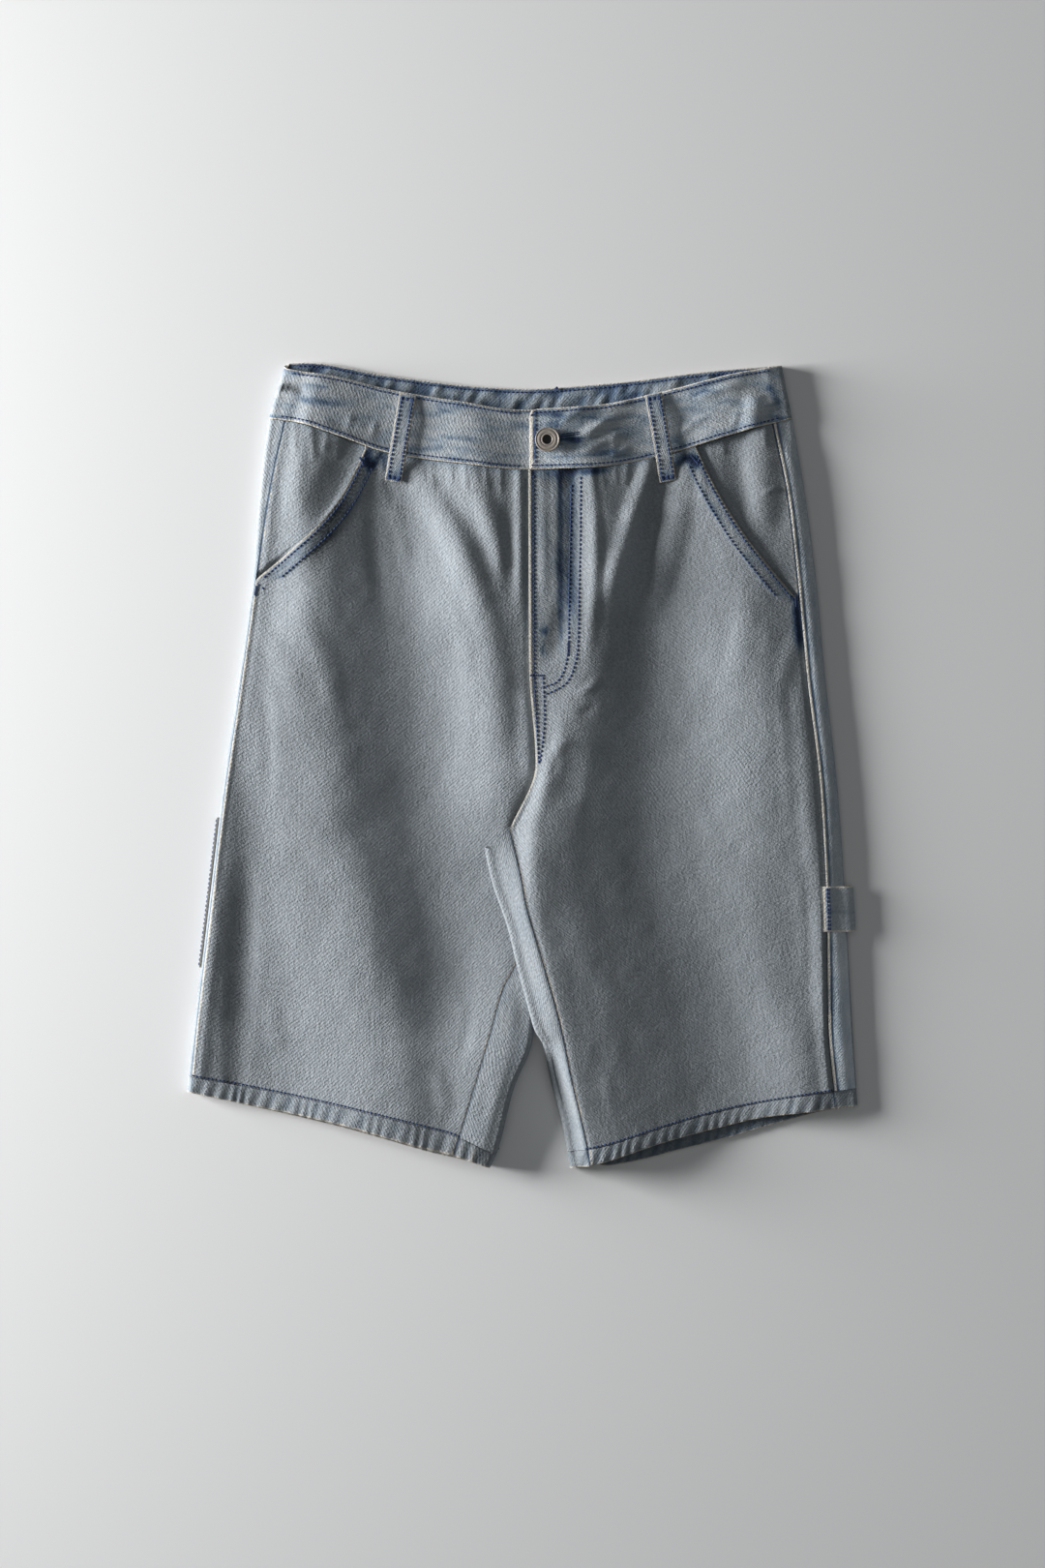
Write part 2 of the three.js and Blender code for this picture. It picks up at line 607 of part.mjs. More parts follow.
// Where a hem line crosses a line of points: under the leg it hangs a little lower than in front.
const SIDE_UNDER = 0.6; // the share of the side's run after which it counts as underneath
function hemLine(leg, name, part, t, lineX) {
  const under = part === "floor" || (part === "side" && t > SIDE_UNDER);
  const line = (x) => look(leg.hem, "x", name, x) - (under ? look(leg.hem, "x", "backDrop", x) : 0);
  return meet(lineX, line);
}

// Hems: a closed ring round each leg opening, puckered on the faces that show.
const HEM_PARTS = ["front", "side", "floor", "fold", "strip"];
const WAVE_AT_SEAM = 0.4; // share of a pucker's height left at the stitched edge
function hemRing(leg) {
  const columns = HEM_PARTS.flatMap((part) => {
    const count = HEM_GRID[part] ?? HEM_WAVES[part] * HEM_GRID.wave;
    return steps(0, 1, count).slice(0, -1).map((t) => ({ part, t }));
  });
  const place = ({ part, t }, y) => {
    if (part === "front") {
      const x = lerp(leg.inseam(y), leg.seam(y), t);
      return { x, z: leg.z(x, y) };
    }
    return legPoint(leg, part, t, y);
  };
  const grid = [0, 1].map((v) =>
    columns.map((column) => {
      const lineX = (at) => place(column, at).x;
      const y = hemLine(leg, v === 0 ? "stitch" : "edge", column.part, column.t, lineX);
      const p = place(column, y);
      const waves = HEM_WAVES[column.part] ?? 0;
      const swell = (1 - Math.cos(2 * Math.PI * waves * column.t)) / 2;
      return { at: new THREE.Vector3(p.x, y, p.z), raise: HEM_WAVE_HEIGHT * swell * (WAVE_AT_SEAM + v) };
    }),
  );
  return wall(grid, BAND_WALL, { out: -leg.side, closed: true });
}

// Waistband: one double strip all round, its left end lapped over its right end at the front. Its runs of
// points go from the hidden end, over the wearer's right side, along the table and back over the left side.
const LAP_EASE = { under: 12, over: 60 }; // how long each end takes to leave the line of the other
function bandUnder(x, y) {
  const base = x < centreSeam(y) ? rightZ(x, y) : leftZ(x, y);
  return base + BAND_PROUD - LAP.dip * ramp((x - LAP.end + LAP_EASE.under) / (LAP_EASE.under - 1));
}
function bandOver(x, y) {
  return leftZ(x, y) + BAND_PROUD + LAP.rise * (1 - ramp((x - LAP.end) / LAP_EASE.over));
}
function bandRuns() {
  const foldX = (leg, y) => leg.edge(y) - leg.side * SIDE_ROUND;
  const front = (height, fromX, toX) => (t, y) => {
    const x = lerp(fromX(y), toX(y), t);
    return { x, z: height(x, y) };
  };
  const side = (leg) => (t, y) => {
    return halfRound(leg.edge(y), -leg.side * SIDE_ROUND, 0, leg.rim(y) + BAND_PROUD, t);
  };
  const end = () => LAP.end;
  const hidden = () => LAP.under;
  const rightFold = (y) => foldX(LEGS.right, y);
  const leftFold = (y) => foldX(LEGS.left, y);
  const table = (t, y) => ({ x: lerp(rightFold(y), leftFold(y), t), z: 0 });
  return [
    { count: BAND_GRID.lap, back: () => 0, point: front(bandUnder, hidden, end) },
    { count: BAND_GRID.front, back: () => 0, point: front(bandUnder, end, rightFold) },
    { count: BAND_GRID.side, back: ramp, point: side(LEGS.right) },
    { count: BAND_GRID.back, back: () => 1, point: table },
    { count: BAND_GRID.side, back: (t) => ramp(1 - t), point: (t, y) => side(LEGS.left)(1 - t, y) },
    { count: BAND_GRID.front, back: () => 0, point: front(bandOver, leftFold, end) },
  ];
}
function waistband() {
  const columns = bandRuns().flatMap(({ count, back, point }, k) => {
    const run = steps(0, 1, count).slice(k === 0 ? 0 : 1);
    return run.map((t) => ({ share: back(t), place: (y) => point(t, y) }));
  });
  const edge = (name, { share, place }) => {
    const line = (x) => lerp(look(WAIST_FRONT, "x", name, x), look(WAIST_BACK, "x", name, x), share);
    return meet((y) => place(y).x, line);
  };
  const grid = steps(0, 1, BAND_GRID.rows).map((v) =>
    columns.map((column) => {
      const y = lerp(edge("top", column), edge("seam", column), v);
      const p = column.place(y);
      return { at: new THREE.Vector3(p.x, y, p.z) };
    }),
  );
  return wall(grid, BAND_WALL);
}

// A belt loop: a strap of folded denim from the top of the waistband to below its seam, arched in between.
const LOOP_STEP = { below: 10, over: 8 }; // it climbs onto the band this far below the seam, over this length
const ARCH_END = 0.3; // share of its length over which it rises
function beltLoop(top, bottom, height) {
  const line = steps(0, 1, LOOP_GRID).map((t) => {
    const x = lerp(top.x, bottom.x, t);
    const y = lerp(top.y, bottom.y, t);
    const step = BAND_PROUD * ramp((y - frontSeam(x) + LOOP_STEP.below) / LOOP_STEP.over);
    const arch = LOOP_ARCH * ramp(Math.min(t, 1 - t) / ARCH_END);
    return new THREE.Vector3(x, y, height(x, y) + step + LOOP_CLEAR + arch + LOOP_WALL);
  });
  const dir = line[LOOP_GRID].clone().sub(line[0]).setZ(0).normalize();
  const across = new THREE.Vector3(-dir.y, dir.x, 0).multiplyScalar(LOOP_WIDTH);
  const grid = [-0.5, 0, 0.5].map((s) => line.map((p) => ({ at: p.clone().addScaledVector(across, s) })));
  return wall(grid, LOOP_WALL);
}

// Hammer loop: from the side seam over the edge of the leg, standing off it, and tucked under the back panel.
function hammerLoop() {
  const { top, bottom, reach, inset, tuck, wall: thick, slack } = HAMMER_LOOP;
  const grid = steps(0, 1, HAMMER_GRID.down).map((v) => {
    const y = lerp(top, bottom, v);
    const edge = outline("leftEdge", y);
    const start = outline("leftSeam", y) - inset;
    const turnX = edge - inset;
    const lie = (x) => leftZ(x, y) + SEAM_GAP + thick + slack * ramp((x - start) / (turnX - start));
    const over = steps(start, turnX, HAMMER_GRID.over).map((x) => ({ x, z: lie(x) }));
    const turn = (t) => halfRound(edge + reach, -(reach + inset), 0, lie(turnX), t);
    const round = steps(0, 1, HAMMER_GRID.round).slice(1).map(turn);
    const under = steps(turnX, edge - tuck, HAMMER_GRID.under).slice(1).map((x) => ({ x, z: 0 }));
    return [...over, ...round, ...under].map((p) => ({ at: new THREE.Vector3(p.x, y, p.z) }));
  });
  return wall(grid, thick, { out: -1 });
}

// Tool pocket: a patch on the back of the wearer's right leg. Its outer edge just shows at the side fold.
function toolPocket() {
  const { top, bottom, inner, wall: thick, firstTurn } = TOOL_POCKET;
  const shift = thick + SEAM_GAP;
  const grid = steps(0, 1, POCKET_GRID.down).map((v) => {
    const y = lerp(top - SEAM_GAP, bottom + SEAM_GAP, v);
    const edge = outline("rightEdge", y);
    const high = LEGS.right.rim(y) + shift;
    const turns = steps(firstTurn, 1, POCKET_GRID.round);
    const round = turns.map((t) => halfRound(edge - shift, SIDE_ROUND + shift, 0, high, t));
    const flat = steps(edge + SIDE_ROUND, inner, POCKET_GRID.flat).slice(1).map((x) => ({ x, z: 0 }));
    return [...round, ...flat].map((p) => ({ at: new THREE.Vector3(p.x, y, p.z) }));
  });
  return wall(grid, thick);
}

// Shank button: a ring-shaped head on a short shank, with the hollow centre of a jeans button.
function button() {
  const { radius, height, shank, hole, sides } = BUTTON;
  const profile = table(
    ["r", "z"],
    [
      [0, 0],
      [shank, 0],
      [shank, 1.2],
      [radius - 0.8, 1.5],
      [radius, 2.2],
      [radius - 0.2, 3.3],
      [radius - 1.1, height],
      [radius - 2.0, height - 0.3],
      [radius - 2.6, height - 0.9],
      [hole + 0.9, height - 0.8],
      [hole, height - 1.2],
      [hole - 0.1, 1.7],
      [0, 1.7],
    ],
  );
  return new THREE.LatheGeometry(profile.map(({ r, z }) => new THREE.Vector2(r, z)), sides);
}

const DENIM_COLOUR = 0x8d979f;
const STEEL_COLOUR = 0x7d7872;
const denim = () => new THREE.MeshStandardMaterial({ color: DENIM_COLOUR, roughness: 0.95, metalness: 0 });
const steel = () => new THREE.MeshStandardMaterial({ color: STEEL_COLOUR, roughness: 0.4, metalness: 0.9 });

const shorts = new THREE.Group();
function add(name, geometry, material = denim()) {
  const mesh = new THREE.Mesh(geometry, material);
  mesh.name = name;
  shorts.add(mesh);
  return mesh;
}

const rightSide = { pocket: RIGHT_POCKET, seam: LEGS.right.seam, hem: RIGHT_HEM, side: -1 };
const leftSide = { pocket: LEFT_POCKET, seam: LEGS.left.seam, hem: LEFT_HEM, side: 1 };
add("front_right", frontPanel({ ...rightSide, height: rightFrontZ, inner: rightInner }));
add("front_left", frontPanel({ ...leftSide, height: leftFrontZ, inner: leftStart }));
add("pocket_facing_right", pocketFacing({ ...rightSide, height: rightZ }));
add("pocket_facing_left", pocketFacing({ ...leftSide, height: leftZ }));
add("back_right", backPanel(LEGS.right));
add("back_left", backPanel(LEGS.left));
add("hem_right", hemRing(LEGS.right));
add("hem_left", hemRing(LEGS.left));
add("waistband", waistband());
add("belt_loop_right", beltLoop({ x: -75, y: 245 }, { x: -85, y: 188 }, rightZ));
add("belt_loop_left", beltLoop({ x: 87, y: 245.5 }, { x: 97, y: 188 }, leftZ));
add("hammer_loop", hammerLoop());
add("tool_pocket", toolPocket());

const buttonMesh = add("button", button(), steel());
buttonMesh.rotation.x = Math.PI / 2;
const bandTop = leftZ(BUTTON.x, BUTTON.y) + BAND_PROUD + LAP.rise;
buttonMesh.position.set(BUTTON.x, BUTTON.y, bandTop + 2 * SEAM_GAP);

// The origin is on the table, under the middle of the overall size.
const extent = new THREE.Box3().setFromObject(shorts);
const middle = extent.getCenter(new THREE.Vector3());
shorts.position.set(-middle.x, -middle.y, -extent.min.z);

export default shorts;
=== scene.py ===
# %% [markdown]
# Denim shorts laid on a table. The shorts are sewn from flat cloth, so each piece here is one thin wall of
# cloth: two fronts, two backs, two pocket facings, two hems, a waistband, belt loops, a hammer loop and a
# tool pocket, with a metal button. The imported solids give the places. The cloth is made again much finer on
# the same section tables, and then gets what a solid can't show: creases, puckers, thread, worn edges and
# the wash of the denim, with painted light and shade in its colour.

import math

import bpy
import numpy as np
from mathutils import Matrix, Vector


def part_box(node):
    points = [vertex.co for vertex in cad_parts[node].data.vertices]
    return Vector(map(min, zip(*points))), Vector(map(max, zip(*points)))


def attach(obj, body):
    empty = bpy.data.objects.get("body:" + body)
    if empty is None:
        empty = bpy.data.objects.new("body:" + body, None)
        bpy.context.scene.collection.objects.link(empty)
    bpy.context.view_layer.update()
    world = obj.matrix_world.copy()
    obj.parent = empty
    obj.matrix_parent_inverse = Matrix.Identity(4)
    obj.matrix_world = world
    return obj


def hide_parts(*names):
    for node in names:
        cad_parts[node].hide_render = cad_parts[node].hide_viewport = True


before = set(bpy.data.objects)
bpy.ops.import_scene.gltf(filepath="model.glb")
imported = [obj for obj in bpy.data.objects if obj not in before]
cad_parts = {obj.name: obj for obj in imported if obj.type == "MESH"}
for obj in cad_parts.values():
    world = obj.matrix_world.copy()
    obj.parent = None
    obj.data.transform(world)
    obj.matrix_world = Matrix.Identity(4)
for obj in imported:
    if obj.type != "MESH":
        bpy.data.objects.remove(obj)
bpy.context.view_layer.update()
MM = 0.001
print("nodes:", sorted(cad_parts))

# %% [markdown]
# Everything below is drawn in millimetres in the cutter's own frame, with x = 0 near the fly. The packed
# part has its origin under the middle of its box instead. The button was drawn at a known place, so where
# its node is now tells how far the whole drawing was moved.

# %% Find how far the drawing was moved
BUTTON = {"x": 17.0, "y": 214.5, "radius": 8.4, "height": 4.4, "shank": 4.5, "hole": 2.4}


def moved_by():
    low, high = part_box("button")
    return np.array([(low.x + high.x) / 2 / MM - BUTTON["x"], (low.y + high.y) / 2 / MM - BUTTON["y"], 0.0])


MOVED = moved_by()
print("moved by (mm):", MOVED.round(2))

# %% [markdown]
# A garment laid flat is best described as a map maker describes hills: sections across it at named places,
# each with its dips and crests. A table holds the sections, and look() reads a column smoothly between
# them. A spline through all the points would overshoot, so each slope is the harmonic mean of its
# neighbours'.

# %% Tables and the two easing curves
RAMP_END = 0.32


def table(names, rows):
    columns = np.array(rows, float)
    columns = columns[np.argsort(columns[:, 0])]
    return {name: columns[:, i] for i, name in enumerate(names.split())}


def look(rows, key, name, at):
    places, values = rows[key], rows[name]
    at = np.clip(at, places[0], places[-1])
    i = np.clip(np.searchsorted(places, at) - 1, 0, len(places) - 2)
    slope = np.diff(values) / np.diff(places)
    both = slope[:-1] * slope[1:]
    total = slope[:-1] + slope[1:]
    eased = np.where(both > 0, 2 * both / np.where(both > 0, total, 1), 0)
    bends = np.concatenate([slope[:1], eased, slope[-1:]])
    span = places[i + 1] - places[i]
    t = (at - places[i]) / span
    start = values[i] * (1 + 2 * t) * (1 - t) ** 2 + bends[i] * span * t * (1 - t) ** 2
    return start + values[i + 1] * t * t * (3 - 2 * t) + bends[i + 1] * span * t * t * (t - 1)


def ramp(t):
    s = np.clip(t, 0, 1)
    top = 1 / (1 - RAMP_END)
    middle = top * (s - RAMP_END / 2)
    start = top * s * s / (2 * RAMP_END)
    end = 1 - top * (1 - s) ** 2 / (2 * RAMP_END)
    return np.where(s < RAMP_END, start, np.where(s > 1 - RAMP_END, end, middle))


def lerp(a, b, t):
    return a + (b - a) * t


def along(stations, x):
    z = stations[0][1] + 0 * x
    for (x0, z0), (x1, z1) in zip(stations, stations[1:]):
        z = z + (z1 - z0) * ramp((x - x0) / (x1 - x0))
    return z


# %% [markdown]
# The outline, the seams and the heights, as the part's own drawing has them. Seen from above, the wearer's
# right is on the left of the picture.

# %% Outline and seams
OUTLINE = table("y rightEdge rightSeam leftSeam leftEdge", [
    (266, -157, -149, 160, 172.5), (227, -168, -157.5, 166.5, 180), (180, -174, -167.5, 176, 188),
    (122, -178.5, -176.3, 183, 195.5), (58, -187.5, -185.3, 189, 201.5), (-19, -198.5, -196.6, 198, 210),
    (-102, -208.5, -206.6, 202, 215.5), (-172, -217, -215, 203, 219.5), (-225, -223, -220.6, 208, 223)])
CENTRE_SEAM = table("y x", [(195, 4.5), (65, 5), (1, 9.3), (-42, -7.7)])
RIGHT_INSEAM = table("y x", [
    (-42, -7.7), (-85, -2), (-127, -3.2), (-148, -12.8), (-175, -20.5), (-205, -29.4), (-257, -45.2)])
LEFT_INSEAM = table("y x", [
    (-42, -7.7), (-73, -0.3), (-92, 3.2), (-123, 12.2), (-175, 26.7), (-202, 32), (-249, 42.9),
    (-263, 45.4)])
FLAP_EDGE = table("y x half", [
    (-42, -27, 1.7), (-55, -24.5, 1.7), (-76, -20, 1.7), (-107, -9.3, 1.7), (-132, -3.2, 1.7),
    (-163, 5.1, 1.8), (-175, 8.7, 1.9), (-184, 14, 2), (-207, 18.8, 2.4), (-236, 26.7, 2.9),
    (-266, 32, 3.2)])
INNER_FOLD = table("y x", [
    (-42, 14), (-70, 10.8), (-110, 9.6), (-147, 9.6), (-180, 7.7), (-214, -5.1), (-255, -15.7),
    (-266, -20.8)])
CENTRE_BACK = table("y x", [(230, 6), (60, 9), (0, 12), (-42, 13)])
FLAP_FLOOR = table("y x", [(-42, 15.8), (-60, 19), (-85, 26), (-134, 33), (-180, 34), (-230, 40), (-266, 44)])
RIGHT_POCKET = table("y x", [
    (209.5, -103.8), (192, -111.9), (175, -121.2), (159.5, -133.6), (142.5, -152.3), (123, -176.3)])
LEFT_POCKET = table("y x", [(210.5, 115.6), (182.5, 129), (153.5, 147), (130.5, 165), (109.5, 183)])

# %% [markdown]
# Cloth that lies flat still rises and falls by a centimetre or so, with air inside the legs. These tables
# hold how high it stands at named places of each leg, from the inseam over to the side.

# %% Heights of the two legs
RIGHT_LEG = table("y rimZ dipX dipZ crestX crestZ troughX troughZ swellX swellZ endZ", [
    (266, 6.5, -145, 8, -131, 9.5, -89, 8, -25, 12.5, 13),
    (227, 7, -153, 8.5, -140, 12, -86, 7, -26, 13.5, 13),
    (180, 7, -163, 8.5, -143, 14.5, -83, 5, -27, 14.5, 12.5),
    (122, 7, -170, 8, -139, 15, -81, 4.6, -31, 15, 13),
    (58, 6.5, -178, 7.5, -141, 15.5, -73.5, 4.4, -17, 15.5, 13.5),
    (-6, 8, -186, 7.5, -129, 16, -65, 4.4, -8, 15.5, 14.5),
    (-42, 9, -180, 6.8, -126, 15.5, -60, 4.6, -8, 10.5, 10),
    (-70, 9.5, -178.5, 6.4, -116.5, 15, -55, 4.6, -8, 7.5, 7.2),
    (-134, 9.5, -178.5, 6.2, -99, 15.5, -44, 5, -6, 10, 9.6),
    (-166, 9, -176, 5.5, -88, 15.5, -48, 9, -8, 13.5, 12.5),
    (-198, 8, -173.5, 5, -80, 15.5, -53, 13, -12, 17, 16),
    (-266, 7, -177, 5.4, -78, 13.5, -50, 12, -30, 13, 12)])
LEFT_LEG = table("y startZ crestX crestZ troughX troughZ swellX swellZ seamZ rimZ", [
    (266, 13, 23, 14, 75, 10, 141, 10.5, 8.5, 7), (227, 13, 30, 14.5, 83, 8, 135, 11.5, 8.5, 7),
    (180, 12.5, 45, 15, 85, 6, 133, 12, 9, 6.8), (122, 13, 47, 15, 87.5, 4.8, 153, 11.5, 8.5, 6.6),
    (58, 13.5, 39.5, 16.5, 92, 4.4, 158, 11.5, 8, 6.5), (-6, 14.5, 19.5, 19, 94, 4.4, 162, 11, 8.5, 6.5),
    (-42, 14.5, 11, 21, 97, 4.4, 167, 10, 9, 6.5), (-70, 19, 8.5, 21.5, 102, 4.4, 165, 9.5, 9.5, 6.5),
    (-102, 20.5, 12, 21.5, 114, 4.4, 167, 8.8, 9.3, 6.5), (-134, 21, 19, 21.5, 127, 4.4, 168, 8.5, 9, 6.5),
    (-198, 19.5, 34.5, 20, 143, 4.6, 187, 10.8, 8.5, 6.4),
    (-266, 16.5, 49, 17, 148, 5.4, 190, 11, 8.5, 6.8)])

# %% [markdown]
# The waistband and the hems end the legs, above and below. Their lines droop and slant a little as the cloth
# lay, so each is a short table of points across the garment.

# %% The waist and the hems
WAIST_FRONT = table("x top seam", [
    (-168, 266, 230), (-149, 261.5, 227), (-121, 257, 218), (-90, 249.5, 207.5), (-44, 241, 200),
    (0, 235, 195.5), (45, 237.5, 196.5), (90, 246.5, 204.5), (147, 260.5, 221), (180, 266, 230)])
WAIST_BACK = table("x top seam", [
    (-168, 266, 230), (-143, 267.4, 228), (-90, 259, 219), (-28, 251.5, 211.5), (3, 250, 210),
    (57, 253.5, 213.5), (129, 262, 222.5), (180, 266, 230)])
RIGHT_HEM = table("x stitch edge backDrop", [
    (-222, -205.5, -216, 0), (-183, -213, -224.5, 0.5), (-121, -225.5, -237.5, 2),
    (-59, -240.5, -254.5, 2.5), (-45, -244.5, -258, 2), (-20, -256, -266.5, 0)])
LEFT_HEM = table("x stitch edge backDrop", [
    (32, -256, -267, 0), (46, -253, -264, 0), (57, -250.5, -261, 4.5), (93, -239.5, -249.5, 8.5),
    (129, -230, -240.5, 8.5), (165, -222.5, -232.5, 6), (201, -216.5, -228, 1), (222, -214, -225.5, 0)])

# %% [markdown]
# From the tables to a height for every point of the cloth, the same way as the solids are made. The
# wearer's left leg lies over the right one below the crotch: a flap of its back climbs over the other leg.

# %% Height of the cloth at any point
CROTCH_Y = -42
SIDE_ROUND, INNER_ROUND = 3.5, 4.0
FLY_STEP, UNDERLAP, SEAM_GAP = 0.9, 2.5, 0.3
LAYER, BAND_WALL, BAND_PROUD = 1.2, 2.2, 1.1


def edge_at(name, y):
    return look(OUTLINE, "y", name, y)


def centre_seam(y):
    return look(CENTRE_SEAM, "y", "x", y)


def inner_fold(y):
    return look(INNER_FOLD, "y", "x", y)


def roll_over(inward, height):
    out = np.clip(1 - inward / SIDE_ROUND, 0, 1)
    return height / 2 * (1 + np.sqrt(1 - out * out))


def right_z(x, y):
    edge, rim = edge_at("rightEdge", y), look(RIGHT_LEG, "y", "rimZ", y)
    end = np.where(y > CROTCH_Y, centre_seam(y), inner_fold(y) - INNER_ROUND)
    at = {name: look(RIGHT_LEG, "y", name, y) for name in RIGHT_LEG if name != "y"}
    swell_x = np.minimum(at["swellX"], end - 1)
    z = along([(edge + SIDE_ROUND, rim), (at["dipX"], at["dipZ"]), (at["crestX"], at["crestZ"]),
               (at["troughX"], at["troughZ"]), (swell_x, at["swellZ"]), (end, at["endZ"])], x)
    return np.where(x < edge + SIDE_ROUND, roll_over(x - edge, rim), z)


def flap_under(x, y):
    fold = inner_fold(y)
    top = right_z(np.minimum(x, fold - INNER_ROUND), y) + 0.7
    beside = fold + 0.8
    down = 1 - ramp((x - beside) / (look(FLAP_FLOOR, "y", "x", y) - beside))
    return top * down * (1 - ramp((-178 - y) / 52))


def left_start(y):
    return np.where(y > CROTCH_Y, centre_seam(y), look(LEFT_INSEAM, "y", "x", y))


def left_z(x, y):
    edge, start = edge_at("leftEdge", y), left_start(y)
    at = {name: look(LEFT_LEG, "y", name, y) for name in LEFT_LEG if name != "y"}
    tip = look(FLAP_EDGE, "y", "x", y) + SIDE_ROUND
    tip_z = flap_under(tip, y) + 2 * look(FLAP_EDGE, "y", "half", y)
    on_flap = along([(tip, tip_z), (np.maximum(start, tip + 0.01), at["startZ"])], x)
    z = along([(start, at["startZ"]), (at["crestX"], at["crestZ"]), (at["troughX"], at["troughZ"]),
               (at["swellX"], at["swellZ"]), (edge_at("leftSeam", y), at["seamZ"]),
               (edge - SIDE_ROUND, at["rimZ"])], x)
    return np.where(x > edge - SIDE_ROUND, roll_over(edge - x, at["rimZ"]), np.where(x < start, on_flap, z))


print("height on the flap (mm):", float(left_z(np.array(0.0), np.array(-100.0))).__round__(1))

# %% [markdown]
# Creases are listed one row for each: where it starts and ends, how far it bows to the side, half
# its width and its height. A trough has a negative height. Cloth that is gathered by a seam starts at full
# height there, so "start" says how much of the height is left at its first end.

# %% Strokes: one tool for creases, for the marks of wear and for painted light and shade
STROKE_NAMES = "x0 y0 x1 y1 bow half high start".split()
STROKE_END, START_REACH, STROKE_TAPER = 0.35, 0.9, 0.75


def crown(far, half):
    return np.clip(1 - (far / half) ** 2, 0, 1)


def strokes(rows, x, y):
    total = np.zeros(np.broadcast(x, y).shape)
    for row in zip(*(rows[name] for name in STROKE_NAMES)):
        x0, y0, x1, y1, bow, half, high, start = row
        length = math.hypot(x1 - x0, y1 - y0)
        dx, dy = (x1 - x0) / length, (y1 - y0) / length
        t = np.clip(((x - x0) * dx + (y - y0) * dy) / length, 0, 1)
        side = bow * 4 * t * (1 - t)
        far = np.hypot(x - (x0 + dx * length * t - dy * side), y - (y0 + dy * length * t + dx * side))
        width = half * lerp(STROKE_TAPER, 1, np.sin(math.pi * t))
        from_start = np.maximum(ramp(t / STROKE_END), start * (1 - ramp(t / START_REACH)))
        total += high * crown(far, width) ** 2 * from_start * ramp((1 - t) / STROKE_END)
    return total


def chart(rows):
    columns = np.array(rows, float)
    return {name: columns[:, i] for i, name in enumerate(STROKE_NAMES)}


# %% [markdown]
# Washed denim is never quite smooth between its creases. This soft noise has a size in millimetres and a
# fixed seed, so every run gives the same cloth.

# %% Soft noise
def soft_noise(x, y, size, seed):
    grid = np.random.default_rng(seed).uniform(-1, 1, (64, 64))
    u, v = np.asarray(x) / size + 200, np.asarray(y) / size + 200
    i, j = np.floor(u).astype(int), np.floor(v).astype(int)
    s, t = u - i, v - j
    s, t = s * s * (3 - 2 * s), t * t * (3 - 2 * t)
    g = lambda a, b: grid[a % 64, b % 64]
    return lerp(lerp(g(i, j), g(i + 1, j), s), lerp(g(i, j + 1), g(i + 1, j + 1), s), t)


# %% [markdown]
# The creases of the two fronts. They fan out from the belt loops, where the cloth hangs from the band, and
# small gathers sit under the waist seam.

# %% Creases of the fronts
RIGHT_CREASES = chart([
    (-74, 196, -16, 74, 6.5, 15, 2.6, 0.5), (-58, 194, -15, 108, 6, 12, -1.1, 0.5),
    (-33, 196, -10, 110, 2.7, 11, 2.0, 0.6), (-9, 192, -8.3, 100, 0, 7, -1.1, 0.4),
    (-1.5, 196, -1.2, 92, 0, 5.5, 1.5, 0.9), (-98, 198, -88, 90, -4, 9, -0.9, 0.3),
    (-92, 196, -76, 120, 3, 7, 0.8, 0.5), (2, 66, 5, -24, 0, 8, 1.1, 0.3),
    (-50, 104, -44, -6, 0, 15, -1.0, 0), (-20, 104, -15, -6, 0, 15, 1.2, 0),
    (-60, 199, -58, 180, 0, 2.6, 0.7, 1), (-47, 198, -46, 184, 0, 2.4, 0.6, 1),
    (-38, 197, -36, 178, 0, 2.6, 0.7, 1), (-24, 196, -22, 180, 0, 2.4, 0.7, 1),
    (-14, 196, -14, 176, 0, 2.2, 0.6, 1), (-176, 92, -150, 40, 6, 10, 0.9, 0),
    (-172, 60, -168, -30, 3, 7, -0.8, 0), (-168, -150, -160, -196, 0, 9, 0.8, 0),
    (-60, -196, -52, -236, 3, 8, 0.8, 0), (-34, -150, -42, -200, 2, 6, -0.7, 0),
    (-36, -222, -30, -250, -3, 6, 1.0, 0), (-150, 110, -120, 20, 5, 12, 0.8, 0),
    (-90, 188, -82, 172, 0, 5, -1.2, 1), (-214, -205, -203, -50, 0, 10, 1.7, 0.8),
    (-190, -212, -182, -46, 0, 14, -2.0, 0.8)])
LEFT_CREASES = chart([
    (46, 195, 42, 62, 4, 7, 2.1, 0.6), (84, 197, 54, 98, 0, 11.5, 3.2, 0.8),
    (108, 197, 80, 92, 3, 14, 2.9, 0.5), (86, 199, 70, 150, 0, 12, 1.6, 0.9),
    (74, 200, 62, 88, 0, 30, 2.8, 0.9), (10, 40, 8, -30, 0, 10, 1.2, 0), (36, 20, 26, -36, 0, 14, -1.2, 0),
    (92, 190, 74, 96, 0, 7, -1.0, 0.3), (33, 197, 31, 104, 0, 12, -1.8, 0.9),
    (31, 120, 17, 62, 0, 9, -1.3, 0), (118, 196, 120, 170, 0, 5, 0.7, 1),
    (203, -214, 195, -56, 0, 9, 1.7, 1), (196, -96, 180, 88, 0, 10, 1.5, 0),
    (14, 192, 15, 96, 0, 5, 0.7, 0.6), (33, 46, 52, 60, -3, 4, 1.1, 0), (36, 33, 49, 43, -2, 4, -0.8, 0),
    (22, 6, 36, 16, 4, 7, 0.9, 0), (19, -10, 24, 8, 0, 4, -0.8, 0), (52, 198, 54, 180, 0, 2.6, 0.6, 1),
    (62, 199, 62, 184, 0, 2.2, 0.5, 1), (70, 200, 68, 182, 0, 2.4, 0.6, 1),
    (190, 96, 172, 40, -5, 9, 1.0, 0), (168, 60, 176, -40, 4, 8, 0.8, 0),
    (180, -60, 186, -150, 3, 6, 0.5, 0), (62, -236, 56, -200, 2, 6, 0.4, 0),
    (36, -140, 46, -200, 3, 6, 0.3, 0), (150, 130, 134, 40, 5, 12, 0.7, 0)])
